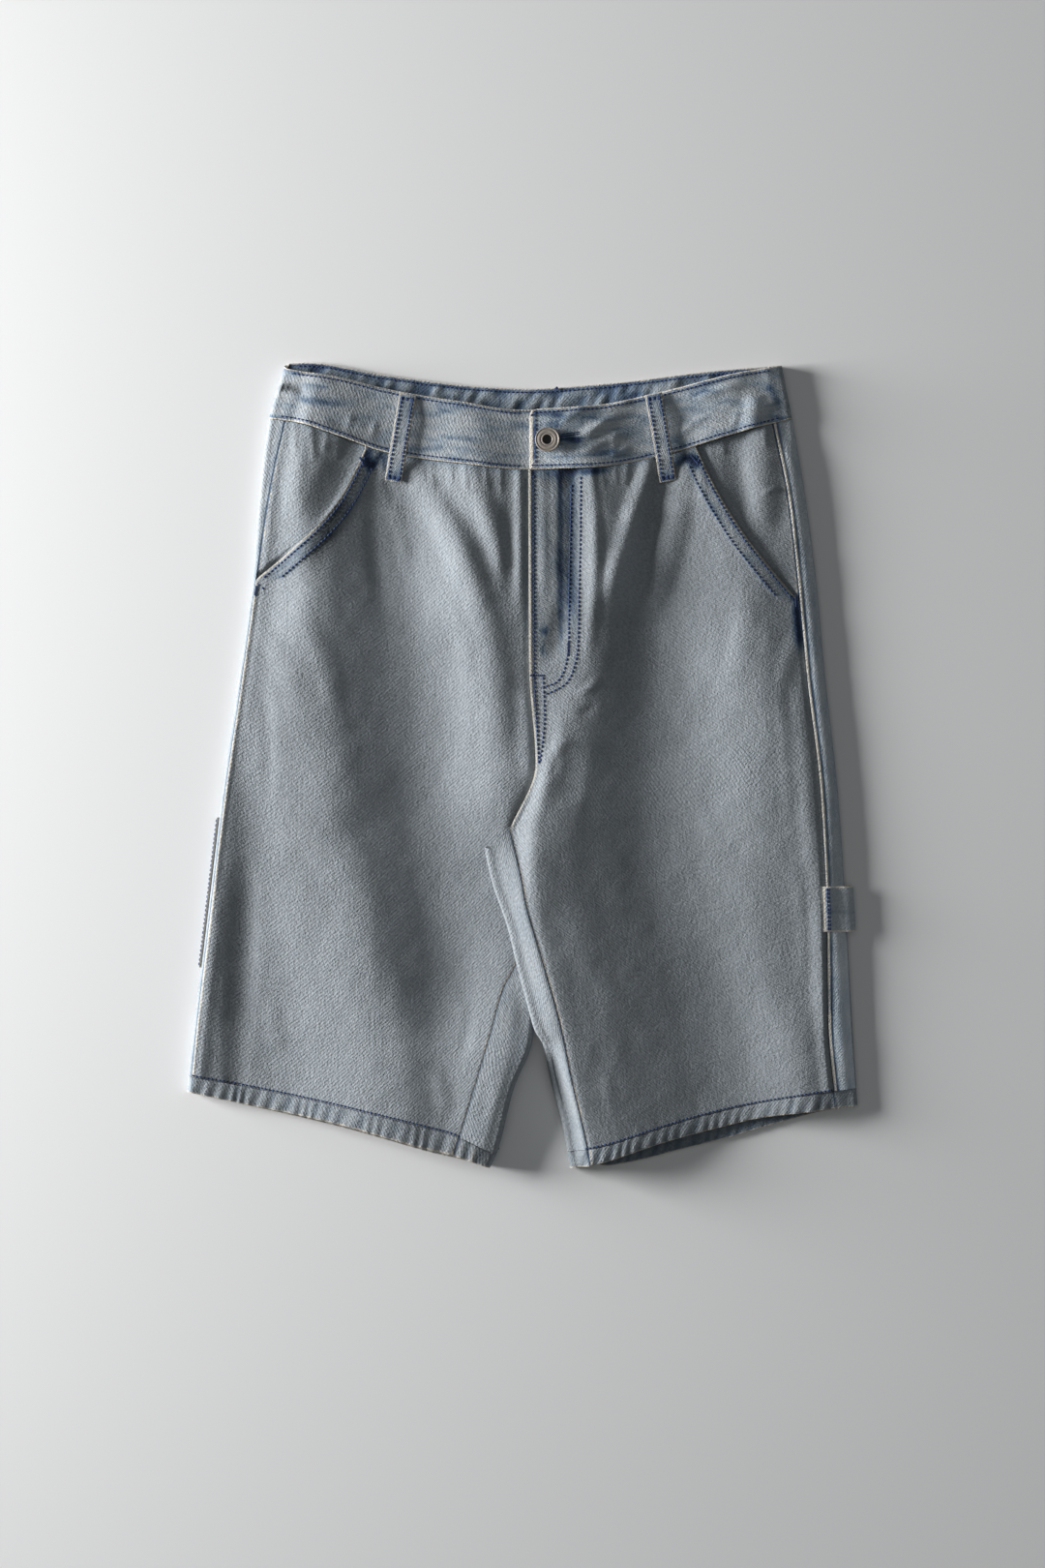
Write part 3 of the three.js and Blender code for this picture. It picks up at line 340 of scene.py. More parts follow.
FACING_CREASES = chart([
    (-150, 226, -150, 204, 0, 3, 0.7, 1), (-139, 222, -137, 198, 0, 3.2, 0.8, 1),
    (-129, 219, -131, 206, 0, 2.6, 0.7, 1), (-121, 216, -123, 200, 0, 2.6, 0.6, 1),
    (-150, 226, -153, 158, 0, 9, 0.7, 0.8), (-110, 218, -137, 154, 0, 17, -2.3, 1),
    (138, 216, 149, 158, 0, 12, -1.3, 0.9), (158, 226, 160, 144, 0, 16, 2.9, 1),
    (124, 212, 127, 200, 0, 2.6, 0.6, 1), (133, 215, 134, 204, 0, 2.8, 0.6, 1),
    (161, 224, 161, 208, 0, 2.2, 0.5, 1), (157, 179, 172, 184, 0, 2.2, 1.1, 0)])


CLOTH_WAVES = ((21, 0.3), (9, 0.16), (4.5, 0.07))


def cloth_noise(x, y, seed):
    """Low waves of three sizes, each with its size across and its height in millimetres."""
    return sum(high * soft_noise(x, y, size, seed + k) for k, (size, high) in enumerate(CLOTH_WAVES))


# %% [markdown]
# Along each hem the cloth is drawn up by its stitching into small slanting puckers about 8 mm apart. The
# pitch drifts, as it does when thick cloth is fed by hand.

# %% Puckers of a hem
PUCKER = {"pitch": 8.2, "slant": 3.0, "high": 0.75, "drift": 0.45, "driftSize": 15}


def pucker(x, share, seed):
    drift = PUCKER["drift"] * soft_noise(x, 0 * x, PUCKER["driftSize"], seed)
    phase = 2 * math.pi * ((x + PUCKER["slant"] * share) / PUCKER["pitch"] + drift)
    strength = 0.7 + 0.4 * soft_noise(x, 0 * x + 40, 17, seed + 5)
    return strength * (0.5 - 0.5 * np.cos(phase))


# %% [markdown]
# A wall of cloth: a grid of points on its outside, the same grid moved in by the cloth's thickness, and a
# rim that closes the two. Solidify would do this too, but here each point can have a thickness of its own,
# and the grid gives the cloth its UV map in metres and its marks of wear and of painted light and shade.

# %% The cloth wall
PIECES, THREADS = {}, {}
MARKS = {"edge": 9.0, "dye": 0.0, "streak": 0.0, "fall": 0.0, "tone": 0.0}


def beside(points, used, di, dj, closed):
    rows, cols = used.shape
    i = np.clip(np.arange(rows) + di, 0, rows - 1)[:, None]
    j = (np.arange(cols) + dj) % cols if closed else np.clip(np.arange(cols) + dj, 0, cols - 1)
    j = np.broadcast_to(j[None, :], used.shape)
    i = np.broadcast_to(i, used.shape)
    return np.where(used[i, j][..., None], points[i, j], points)


def corners_of(live, shape, closed):
    used = np.zeros(shape, bool)
    i, j = np.nonzero(live)
    for a in (0, 1):
        for b in (0, 1):
            used[i + a, (j + b) % shape[1] if closed else j + b] = True
    return used


def cloth_wall(name, points, thickness=LAYER, out=1, closed=False, live=None, marks=None, inside=None):
    rows, cols = points.shape[:2]
    cell_cols = cols if closed else cols - 1
    live = np.ones((rows - 1, cell_cols), bool) if live is None else live
    used = corners_of(live, (rows, cols), closed)
    across = beside(points, used, 0, 1, closed) - beside(points, used, 0, -1, closed)
    down = beside(points, used, 1, 0, closed) - beside(points, used, -1, 0, closed)
    normal = np.cross(across, down) * out
    normal /= np.maximum(np.linalg.norm(normal, axis=2, keepdims=True), 1e-9)
    inner = points - normal * (np.zeros((rows, cols)) + thickness)[..., None]
    ids = np.where(used, np.cumsum(used.ravel()).reshape(used.shape) - 1, -1)
    count = int(used.sum())
    i, j = np.nonzero(live)
    right = (j + 1) % cols
    a, b, c, d = ids[i, j], ids[i, right], ids[i + 1, right], ids[i + 1, j]
    empty = np.zeros((1, cell_cols), bool)
    up, low = np.vstack([empty, live])[i, j], np.vstack([live, empty])[i + 1, j]
    if closed:
        left_of, right_of = live[i, (j - 1) % cell_cols], live[i, (j + 1) % cell_cols]
    else:
        column = np.zeros((rows - 1, 1), bool)
        left_of, right_of = np.hstack([column, live])[i, j], np.hstack([live, column])[i, j + 1]
    quads = [np.stack([a, b, c, d], 1), np.stack([d, c, b, a], 1) + count]
    for there, p, q in ((up, b, a), (low, d, c), (left_of, a, d), (right_of, c, b)):
        free = ~there
        quads.append(np.stack([q[free] + count, p[free] + count, p[free], q[free]], 1)[:, ::-1])
    faces = np.vstack(quads)
    if out < 0:
        faces = faces[:, ::-1]
    return build_piece(name, points[used], inner[used], faces, grid_uv(points, used), marks, inside, used)


def run_of(points, axis):
    """How far each point of a grid is from the first one, along its columns (0) or its rows (1)."""
    steps = np.linalg.norm(np.diff(points, axis=axis), axis=2)
    return np.cumsum(np.concatenate([0 * np.take(steps, [0], axis), steps], axis), axis)


def grid_uv(points, used):
    u, v = run_of(points, 1), run_of(points, 0)
    middle = points.shape[1] // 2
    u = u - u[:, middle:middle + 1] + points[:, middle:middle + 1, 0]
    return np.stack([u, v], 2)[used] * MM


def build_piece(name, outer, inner, faces, uv, marks, inside, used):
    mesh = bpy.data.meshes.new(name)
    places = (np.vstack([outer, inner]) + MOVED) * MM
    mesh.from_pydata(places.tolist(), [], faces.tolist())
    corner = np.zeros(len(mesh.loops), int)
    mesh.loops.foreach_get("vertex_index", corner)
    layer = mesh.uv_layers.new(name="cloth")
    layer.data.foreach_set("uv", np.vstack([uv, uv])[corner].astype(np.float32).ravel())
    for mark, plain in MARKS.items():
        outside = (np.zeros(used.shape) + (marks or {}).get(mark, plain))[used]
        within = (np.zeros(used.shape) + (inside or marks or {}).get(mark, plain))[used]
        attribute = mesh.attributes.new(mark, "FLOAT", "POINT")
        attribute.data.foreach_set("value", np.concatenate([outside, within]).astype(np.float32))
    piece = bpy.data.objects.new(name, mesh)
    bpy.context.scene.collection.objects.link(piece)
    bpy.ops.object.select_all(action="DESELECT")
    piece.select_set(True)
    bpy.context.view_layer.objects.active = piece
    bpy.ops.object.shade_smooth_by_angle(angle=math.radians(50))
    PIECES[name] = piece
    print(name, "faces:", len(mesh.polygons), "thin side (mm):", round(min(piece.dimensions) / MM, 1))
    return piece


# %% [markdown]
# Points along a piece lie about 2 mm apart, with a few closer ones by each edge, so that a folded or worn
# edge can round over. meet() finds where a slanting line of points crosses a seam.

# %% Spacing
EDGE_LINES = (0.3, 0.8, 1.5, 2.4, 3.6)


def spaced(length, pitch, first=EDGE_LINES, last=EDGE_LINES):
    middle_from = first[-1] if first else 0
    middle_to = length - (last[-1] if last else 0)
    middle = np.linspace(middle_from, middle_to, max(2, round((middle_to - middle_from) / pitch) + 1))
    start = [0, *first[:-1]] if first else []
    end = [length - d for d in reversed(last[:-1])] + [length] if last else []
    return np.array([*start, *middle, *end]) / length


def meet(line_x, seam_y, like=0.0):
    y = 0.0 * like
    for _ in range(9):
        y = seam_y(line_x(y))
    return y


def rounded_edge(far, round_by=0.8, drop=0.45):
    return -drop * np.clip(1 - far / round_by, 0, 1) ** 2


# %% [markdown]
# The fronts run from the waist seam to the hem stitching. The outer edge follows the pocket mouth and then
# the side seam. The wearer's left front laps over the right one at the fly.

# %% The two fronts: their place
SIDES = {
    "right": {"side": -1, "z": right_z, "seam": "rightSeam", "edge": "rightEdge", "pocket": RIGHT_POCKET,
              "hem": RIGHT_HEM, "creases": RIGHT_CREASES, "inseam": RIGHT_INSEAM, "seed": 11,
              "turned": 0.55, "foldEase": 6},
    "left": {"side": 1, "z": left_z, "seam": "leftSeam", "edge": "leftEdge", "pocket": LEFT_POCKET,
             "hem": LEFT_HEM, "creases": LEFT_CREASES, "inseam": LEFT_INSEAM, "seed": 31,
             "turned": -0.6, "foldEase": 2.5}}


def fly_fade(y):
    return ramp((y - CROTCH_Y + 4) / 10)


INSEAM_RISE = table("y x high", [
    (-44, 4, 0), (-62, 5, 1.2), (-85, 5, 1.6), (-110, 7.5, 1.6), (-134, 13, 1.6), (-175, 25, 1.6),
    (-215, 34.5, 1.3), (-240, 40, 0.3), (-252, 43, 0)])


INSEAM_REACH = {"outward": 22.0, "inward": 12.0}


def inseam_rise(x, y):
    """The left leg stands highest along its inseam, where four layers meet, and falls away on both sides."""
    far = x - look(INSEAM_RISE, "y", "x", y)
    reach = np.where(far > 0, INSEAM_REACH["outward"], INSEAM_REACH["inward"])
    return look(INSEAM_RISE, "y", "high", y) * crown(far, reach) ** 2


def outer_edge(leg, y):
    corner = leg["pocket"]["y"][0]
    seam = edge_at(leg["seam"], y) - leg["side"] * SEAM_GAP / 2
    return np.where(y > corner, look(leg["pocket"], "y", "x", y), seam)


def inner_edge(leg, y):
    if leg["side"] > 0:
        return left_start(y)
    inseam = look(RIGHT_INSEAM, "y", "x", y)
    return np.where(y > CROTCH_Y, centre_seam(y) + UNDERLAP * fly_fade(y), inseam)


def front_base(leg, x, y):
    if leg["side"] > 0:
        return left_z(x, y) + FLY_STEP * fly_fade(y) * (1 - ramp((x - centre_seam(y)) / 25))
    return right_z(x, y) - FLY_STEP * fly_fade(y) * ramp((x - centre_seam(y) + 4) / 4)


# %% [markdown]
# On the real shorts a seam stands up where the cloth is folded over inside, and cloth pulled by a seam
# wrinkles beside it. Each of these is a small rise of its own, added to the height of the leg.

# %% The two fronts: creases, folded pocket mouth and raised seams
def slant(leg, y):
    run = (outer_edge(leg, y + 0.5) - outer_edge(leg, y - 0.5))
    return 1 / np.sqrt(1 + run * run)


def front_far(leg, x, y):
    return leg["side"] * (outer_edge(leg, y) - x) * slant(leg, y), leg["side"] * (x - inner_edge(leg, y))


MOUTH = {"change": 6, "high": 0.6, "wide": 9, "ease": 2.5}


def mouth_share(leg, y):
    """1 beside the pocket mouth and 0 beside the side seam, with a short change at the pocket's corner."""
    return ramp((y - leg["pocket"]["y"][0] + MOUTH["change"] / 2) / MOUTH["change"])


SIDE_TURN = {"wide": 1.6, "ease": 1.2}
FLY_RIDGE = {"high": 0.6, "from": 1.4, "half": 1.6}
DRAWN = {"high": 0.45, "reach": 5}
CALM_EDGE, INNER_EASE = 14, 6


def front_z(leg, x, y):
    outer, inner = front_far(leg, x, y)
    calm = ramp(np.minimum(outer, inner) / CALM_EDGE)
    mouth = mouth_share(leg, y)
    above = np.clip(y - look(leg["hem"], "x", "stitch", x), 0, None)
    draw = DRAWN["high"] * np.exp(-above / DRAWN["reach"]) * (pucker(x, 0, leg["seed"]) - 0.5)
    folds = strokes(leg["creases"], x, y) * ramp(np.minimum(outer / leg["foldEase"], inner / INNER_EASE))
    at_mouth = MOUTH["high"] * mouth * (1 - ramp((outer - MOUTH["wide"]) / MOUTH["ease"]))
    at_seam = leg["turned"] * (1 - mouth) * (1 - ramp((outer - SIDE_TURN["wide"]) / SIDE_TURN["ease"]))
    turned = at_mouth + at_seam
    if leg["side"] > 0:
        ridge = FLY_RIDGE["high"] * fly_fade(y) * crown(inner - FLY_RIDGE["from"], FLY_RIDGE["half"])
        turned = turned + ridge + inseam_rise(x, y)
    return (front_base(leg, x, y) + folds + cloth_noise(x, y, leg["seed"]) * (0.3 + 0.7 * calm) + draw
            + turned + rounded_edge(outer))


def front_grid(leg):
    top = lambda x: look(WAIST_FRONT, "x", "seam", x) - SEAM_GAP
    bottom = lambda x: look(leg["hem"], "x", "stitch", x) + SEAM_GAP
    outer, inner = lambda y: outer_edge(leg, y), lambda y: inner_edge(leg, y)
    ends = [meet(outer, top), meet(inner, top), meet(outer, bottom), meet(inner, bottom)]
    v = spaced(ends[0] - ends[2], 2.3)[:, None]
    u = spaced(150, 2.0)[None, :]
    x = lerp(outer(lerp(ends[0], ends[2], v)), inner(lerp(ends[1], ends[3], v)), u)
    top_y = top(lerp(outer(ends[0]), inner(ends[1]), u))
    bottom_y = bottom(lerp(outer(ends[2]), inner(ends[3]), u))
    return x, lerp(top_y, bottom_y, v)


# %% [markdown]
# The marks of wear and of painted light on the fronts. "edge" is how far a point is from a worn, cream edge
# in millimetres, so the finish can draw that edge sharply on a coarse grid. "dye" says how much indigo is
# left, "streak" and "fall" how much the wash has streaked it across and down the cloth, and the mark of wash
# and painted light darkens or lightens the colour: a little of it is uneven wash, most of it is painted shade
# and painted light where creases fall into shadow or catch the lamp. The cloth kept its indigo where it was
# double: at the pocket mouths, fly and seams. line_of() draws a soft line beside a seam, and fading() starts
# at a seam and dies away from it.

# %% Wear and painted light of the fronts
LEFT_DYE = chart([
    (25.5, 194, 25.5, 60, 0, 3.4, 0.55, 0.9), (33, 194, 32, 70, 0, 7, 0.42, 0.9),
    (7.6, 194, 8.2, 60, 0, 2.6, 0.4, 0.9), (16, 94, 15, 84, 0, 4, 0.5, 0.2),
    (13, 81, 15, 72, 0, 3, 0.3, 0.2), (30, 196, 56, 194, 0, 6, 0.3, 0.8), (8, 192, 36, 192, 0, 6, 0.3, 0.9),
    (112, 204, 119, 197, 0, 6, 0.65, 1), (98, 199, 112, 204, 0, 6, 0.5, 1),
    (181, 118, 185, 70, 0, 6, 0.75, 0.8), (40, 193, 62, 195, 0, 3, 0.3, 1)])
RIGHT_DYE = chart([
    (-104, 206, -97, 194, 0, 6.5, 0.65, 1), (-92, 204, -84, 190, 0, 6.5, 0.45, 1),
    (3, 190, 3, 60, 0, 2.6, 0.3, 0.9)])

# %% [markdown]
# Painted shade and painted light on the fronts: wide soft strokes darken hollows and shaded slopes and
# lighten lit ridges and dark valleys, one table for each leg; a negative height makes the cloth lighter.

# %% Painted light and shade on the fronts
RIGHT_PAINTED_LIGHT = chart([
    (-166, 150, -132, -170, 0, 30, 0.27, 0.5), (-110, 194, -146, 118, 0, 13, 0.6, 0.6),
    (-190, -205, -186, -70, 0, 14, 0.15, 0.8), (3.5, 72, 6, -34, 0, 4.5, -0.9, 0.5)])
LEFT_PAINTED_LIGHT = chart([
    (31, 194, 29, 96, 0, 12, 0.42, 0.9), (29, 112, 18, 66, 0, 9, 0.45, 0.3),
    (14, 188, 34, 187, 0, 7, 0.3, 0.9), (41, 190, 42, 66, 2, 7, 0.2, 0.5),
    (68, 198, 62, 92, 0, 26, -0.3, 0.8), (132, 150, 146, -120, 0, 34, -0.2, 0.6)])


FRONT_DYE, FRONT_PAINTED_LIGHT = {-1: RIGHT_DYE, 1: LEFT_DYE}, {-1: RIGHT_PAINTED_LIGHT, 1: LEFT_PAINTED_LIGHT}
POCKET_ROWS = (2.4, 9.6)


def line_of(far, half):
    return np.exp(-(far / half) ** 2)


def fading(far, reach):
    return np.exp(-np.clip(far, 0, None) / reach)


def front_edge(leg, x, y):
    """How far a point is from the worn edges at the pocket mouth, side seam, fly and inseam."""
    outer, inner = front_far(leg, x, y)
    left = leg["side"] > 0
    edge = np.where(mouth_share(leg, y) > 0.5, outer - 1.0, np.abs(outer - 0.9) - 0.5 + MARKS["edge"] * left)
    if not left:
        return np.minimum(edge, inner - 0.4 + 0.6 * soft_noise(x, y, 9, 4) + 3 * fly_fade(y))
    at_fly = inner - 0.8 - 0.7 * ramp((y - 40) / 20)
    at_inseam = inner - 0.6 + 0.7 * soft_noise(x, y, 12, 3)
    return np.minimum(edge, np.where(fly_fade(y) > 0.3, at_fly, at_inseam))


def front_wash_and_painted_light(leg, x, y):
    """Painted shade and painted light from the strokes, uneven wash from noise, and thin painted shadow lines
    right at the fly, pocket mouth and inseam.
    """
    outer, inner = front_far(leg, x, y)
    tone = strokes(FRONT_PAINTED_LIGHT[leg["side"]], x, y)
    tone = tone + 0.05 * soft_noise(x, y, 60, leg["seed"] + 3) + 0.05 * soft_noise(x, y, 18, leg["seed"] + 4)
    tone = tone + 0.24 * ((inner < 0.7) * (leg["side"] > 0) + (outer < 0.7) * mouth_share(leg, y))
    return tone + 0.5 * line_of(inner, 0.9) * (1 - fly_fade(y))


def front_marks(leg, x, y):
    outer, inner = front_far(leg, x, y)
    mouth = mouth_share(leg, y)
    waist = look(WAIST_FRONT, "x", "seam", x) - y
    stitch = y - look(leg["hem"], "x", "stitch", x)
    bag = mouth * ramp((outer - 1) / 1.5) * (1 - ramp((outer - 10) / 2.5))
    patch = soft_noise(3 * outer, y, 8, leg["seed"] + 7)
    dye = bag * (0.1 + 0.2 * patch) + mouth * 0.14 * (line_of(outer - 2.6, 1.1) + line_of(outer - 9.4, 1.4))
    dye = dye + 0.25 * fading(waist - 0.8, 2.5) + 0.06 * fading(np.abs(stitch), 1.6)
    dye = dye + strokes(FRONT_DYE[leg["side"]], x, y)
    fly = (leg["side"] > 0) * fly_fade(y) * (1 - ramp((inner - 31) / 4)) * ramp((y - 46) / 12)
    dye = dye + fly * (0.05 + 0.1 * soft_noise(3 * inner, y, 17, 6))
    return {"edge": front_edge(leg, x, y), "dye": dye, "streak": 0.6 * bag, "fall": 0.6 * fly,
            "tone": front_wash_and_painted_light(leg, x, y)}


def stack(x, y, z):
    return np.stack(np.broadcast_arrays(x, y, z), 2).astype(float)


for name, leg in SIDES.items():
    x, y = front_grid(leg)
    cloth = stack(x, y, front_z(leg, x, y))
    cloth_wall("front_" + name + "_cloth", cloth, out=leg["side"], marks=front_marks(leg, x, y))

# %% [markdown]
# The pocket facings show in the slanted pocket mouths, a few millimetres lower, and run in under the
# fronts.

# %% Pocket facings
FACING_TUCK, FACING_DOWN, FACING_END, FACING_SLOPE = 9, 2.5, 3, 30


def facing_z(leg, x, y):
    rise = strokes(FACING_CREASES, x, y) + 0.5 * cloth_noise(x, y, 50)
    mouth = leg["side"] * (outer_edge(leg, y) - x)
    seam = leg["side"] * (edge_at(leg["seam"], y) - x)
    down = FACING_DOWN * lerp(ramp(seam / FACING_SLOPE), 1, 1 - ramp(-mouth / 5))
    return leg["z"](x, y) - down + rise * (1 - ramp((mouth + 4) / 4))


def facing_grid(leg):
    low = leg["pocket"]["y"][0] - FACING_END
    outer = lambda y: edge_at(leg["seam"], y) - leg["side"] * SEAM_GAP / 2
    inner = lambda y: look(leg["pocket"], "y", "x", y) - leg["side"] * FACING_TUCK
    top = lambda x: look(WAIST_FRONT, "x", "seam", x) - SEAM_GAP
    tops = meet(outer, top), meet(inner, top)
    v = spaced(tops[0] - low, 1.8)[:, None]
    u = spaced(50, 1.4)[None, :]
    x = lerp(outer(lerp(tops[0], low, v)), inner(lerp(tops[1], low, v)), u)
    return x, lerp(top(lerp(outer(tops[0]), inner(tops[1]), u)), low, v)


def facing_marks(leg, x, y):
    seam = leg["side"] * (edge_at(leg["seam"], y) - x)
    waist = look(WAIST_FRONT, "x", "seam", x) - y
    mouth = leg["side"] * (x - look(leg["pocket"], "y", "x", y))
    dye = 0.22 * fading(waist, 3) + 0.1 * fading(mouth, 4) + 0.5 * line_of(seam - 0.4, 0.7)
    return {"edge": np.abs(seam - 1.6) - 0.3, "dye": dye, "fall": 0.3, "tone": 0.05 * soft_noise(x, y, 16, 8)}


for name, leg in SIDES.items():
    x, y = facing_grid(leg)
    cloth = stack(x, y, facing_z(leg, x, y))
    cloth_wall("facing_" + name + "_cloth", cloth, out=leg["side"], marks=facing_marks(leg, x, y))

# %% [markdown]
# The backs go over the side fold, flat along the table and, below the crotch, round the inner fold to the
# inseam. One leg's section is described in runs of points. The cloth is spread evenly over each run by its
# length.

# %% Runs of a leg's section
LIFT_REACH, LIFT_EASE = 28, 12
TOOL_POCKET = {"top": -34, "bottom": -134, "inner": -112, "wall": 1.2, "firstTurn": 0.42}
HAMMER_LOOP = {"top": -80, "bottom": -110, "reach": 5.8, "inset": 2, "tuck": 12, "wall": 1.3, "slack": 0.5}


def near_to(at, low, high):
    reach = LIFT_REACH + LIFT_EASE
    return ramp((at - low + reach) / LIFT_EASE) * ramp((high + reach - at) / LIFT_EASE)


def lift(x, y):
    pocket = near_to(x, -1e6, TOOL_POCKET["inner"]) * near_to(y, TOOL_POCKET["bottom"], TOOL_POCKET["top"])
    end = edge_at("leftEdge", y) - HAMMER_LOOP["tuck"]
    loop = near_to(x - end, 0, 1e6) * near_to(y, HAMMER_LOOP["bottom"], HAMMER_LOOP["top"])
    return (TOOL_POCKET["wall"] + SEAM_GAP) * pocket + (HAMMER_LOOP["wall"] + SEAM_GAP) * loop


def half_round(edge, inward, low, high, turn):
    a = turn * math.pi
    return edge + inward * (1 - np.sin(a)), low + (high - low) / 2 * (1 + np.cos(a))


def rim_of(leg, y):
    return look(RIGHT_LEG if leg["side"] < 0 else LEFT_LEG, "y", "rimZ", y)


def side_run(leg, y):
    side = leg["side"]
    edge, seam = edge_at(leg["edge"], y), edge_at(leg["seam"], y) + side * SEAM_GAP / 2
    start = edge - side * SIDE_ROUND
    over = (seam - start) * side < 0
    sunk = np.arcsin(np.clip(1 - (seam - edge) / (-side * SIDE_ROUND), 0, 1)) / math.pi
    first_turn = np.where(over, 0, sunk)
    turns = lerp(first_turn, 1.0, np.linspace(0, 1, 20)[:, None])
    x, z = half_round(edge, -side * SIDE_ROUND, 0, rim_of(leg, y), turns)
    strip = lerp(np.where(over, seam, x[0]), x[0], np.linspace(0, 1, 12)[:, None])
    strip_z = np.where(over, leg["z"](strip, y + 0 * strip), z[0])
    return np.vstack([strip, x[1:]]), np.vstack([strip_z, z[1:]])


def floor_end(leg, y):
    below = inner_fold(y) - INNER_ROUND if leg["side"] < 0 else look(FLAP_FLOOR, "y", "x", y)
    return np.where(y > CROTCH_Y, look(CENTRE_BACK, "y", "x", y), below)


def fold_run(leg, y):
    turns = np.linspace(1, 0, 24)[:, None]
    if leg["side"] < 0:
        fold = inner_fold(y)
        return half_round(fold, -INNER_ROUND, 0, right_z(fold - INNER_ROUND, y), turns)
    tip = look(FLAP_EDGE, "y", "x", y)
    x = lerp(look(FLAP_FLOOR, "y", "x", y), tip + SIDE_ROUND, np.linspace(0, 1, 40)[:, None])
    z = flap_under(x, y + 0 * x)
    thick = 2 * look(FLAP_EDGE, "y", "half", y)
    round_x, round_z = half_round(tip, SIDE_ROUND, z[-1], z[-1] + thick, turns[1:])
    return np.vstack([x, round_x]), np.vstack([z, round_z])


# %% [markdown]
# A section of a leg is a ring: up over the side, across the floor and back. One function finds any point of
# it, so the back panel, the hem and the tool pocket all follow the same ring.

# %% A point of a leg's section
def strip_start(leg, y):
    return inner_fold(y) - INNER_ROUND if leg["side"] < 0 else look(FLAP_EDGE, "y", "x", y) + SIDE_ROUND


def at_share(xs, zs, t):
    steps = np.hypot(np.diff(xs, axis=0), np.diff(zs, axis=0))
    far = np.vstack([0 * steps[:1], np.cumsum(steps, 0)])
    goal = t * far[-1]
    i = (far[1:-1] < goal).sum(0)[None, :]
    take = lambda rows, k: np.take_along_axis(rows, k, 0)[0]
    share = (goal - take(far, i)) / np.maximum(take(far, i + 1) - take(far, i), 1e-9)
    return lerp(take(xs, i), take(xs, i + 1), share), lerp(take(zs, i), take(zs, i + 1), share)


def leg_point(leg, part, t, y):
    """Place across the leg and height of share t of a run, for arrays of one length."""
    side = leg["side"]
    if part == "side":
        return at_share(*side_run(leg, y), t)
    if part == "floor":
        start = edge_at(leg["edge"], y) - side * SIDE_ROUND
        end = floor_end(leg, y) + np.where(y > CROTCH_Y, side * SEAM_GAP / 2, 0)
        return lerp(start, end, t), 0.0 * y
    if part == "fold":
        return at_share(*fold_run(leg, y), t)
    x = lerp(strip_start(leg, y), look(leg["inseam"], "y", "x", y) - side * SEAM_GAP, t)
    return x, leg["z"](x, y)


def hem_line(leg, name, part, t, line_x):
    under = np.full(t.shape, part == "floor") | ((part == "side") & (t > 0.6))
    drop = lambda x: under * look(leg["hem"], "x", "backDrop", x)
    return meet(line_x, lambda x: look(leg["hem"], "x", name, x) - drop(x), t)


# %% [markdown]
# The back panels themselves. Their undersides rest on the table, so their creases lie a little above it, as
# the shallow hollows of cloth that has been laid down and smoothed by hand.

# %% The two backs
CROTCH_TUCK = {-1: CROTCH_Y - 3.5, 1: CROTCH_Y - 13}
BACK_PARTS = {"side": 20, "floor": 64, "fold": 44, "strip": 16}
FLAP_CREASES = chart([
    (-20, -78, -4, -120, 1, 5, 0.5, 0), (-8, -120, 6, -170, 1, 5, 0.6, 0),
    (14, -180, 30, -232, 2, 7, -0.9, 0), (22, -196, 38, -246, 3, 4.5, 0.8, 0),
    (10, -166, 24, -196, -2, 4, 0.6, 0), (-34, -196, -38, -240, 2, 6, 0.9, 0),
    (-24, -196, -30, -244, 2, 6, -0.7, 0)])
UNDER_CREASES = chart([
    (-90, 210, -60, 90, 6, 12, 1.0, 0.5), (-40, 206, -20, 60, 4, 10, 0.9, 0.5),
    (-130, 214, -140, 100, -6, 12, 0.9, 0.4), (-10, 20, -60, -60, 8, 11, 1.1, 0),
    (-70, -120, -90, -210, 5, 12, 0.8, 0), (60, 206, 40, 80, -5, 11, 1.0, 0.5),
    (110, 214, 90, 110, 5, 12, 0.9, 0.5), (150, 216, 160, 90, 4, 11, 0.8, 0.4),
    (30, 10, 80, -60, -7, 11, 1.1, 0), (100, -80, 120, -190, 6, 12, 0.8, 0),
    (160, -120, 150, -200, 3, 10, 0.7, 0), (-30, -150, -44, -230, 3, 9, 0.7, 0)])


def crotch_y(leg, part, t):
    dip = CROTCH_TUCK[leg["side"]]
    if part == "fold":
        return lerp(CROTCH_Y, dip, t)
    return lerp(dip, CROTCH_Y - 0.2, t) if part == "strip" else CROTCH_Y + 0 * t


def waist_y(leg, part, t):
    share = ramp(t) if part == "side" else 1.0 + 0 * t
    front, back = (lambda x, rows=rows: look(rows, "x", "seam", x) for rows in (WAIST_FRONT, WAIST_BACK))
    across = lambda y: leg_point(leg, part, t, y)[0]
    return meet(across, lambda x: lerp(front(x), back(x), share) - SEAM_GAP, t)


def back_line(leg, part, t, y):
    x, z = leg_point(leg, part, t, y)
    rim = rim_of(leg, y)
    low = (part == "floor") | ((part == "side") & (z < rim / 2))
    return np.stack([x, y, z + low * lift(x, y) * (1 - z / rim)], 1)


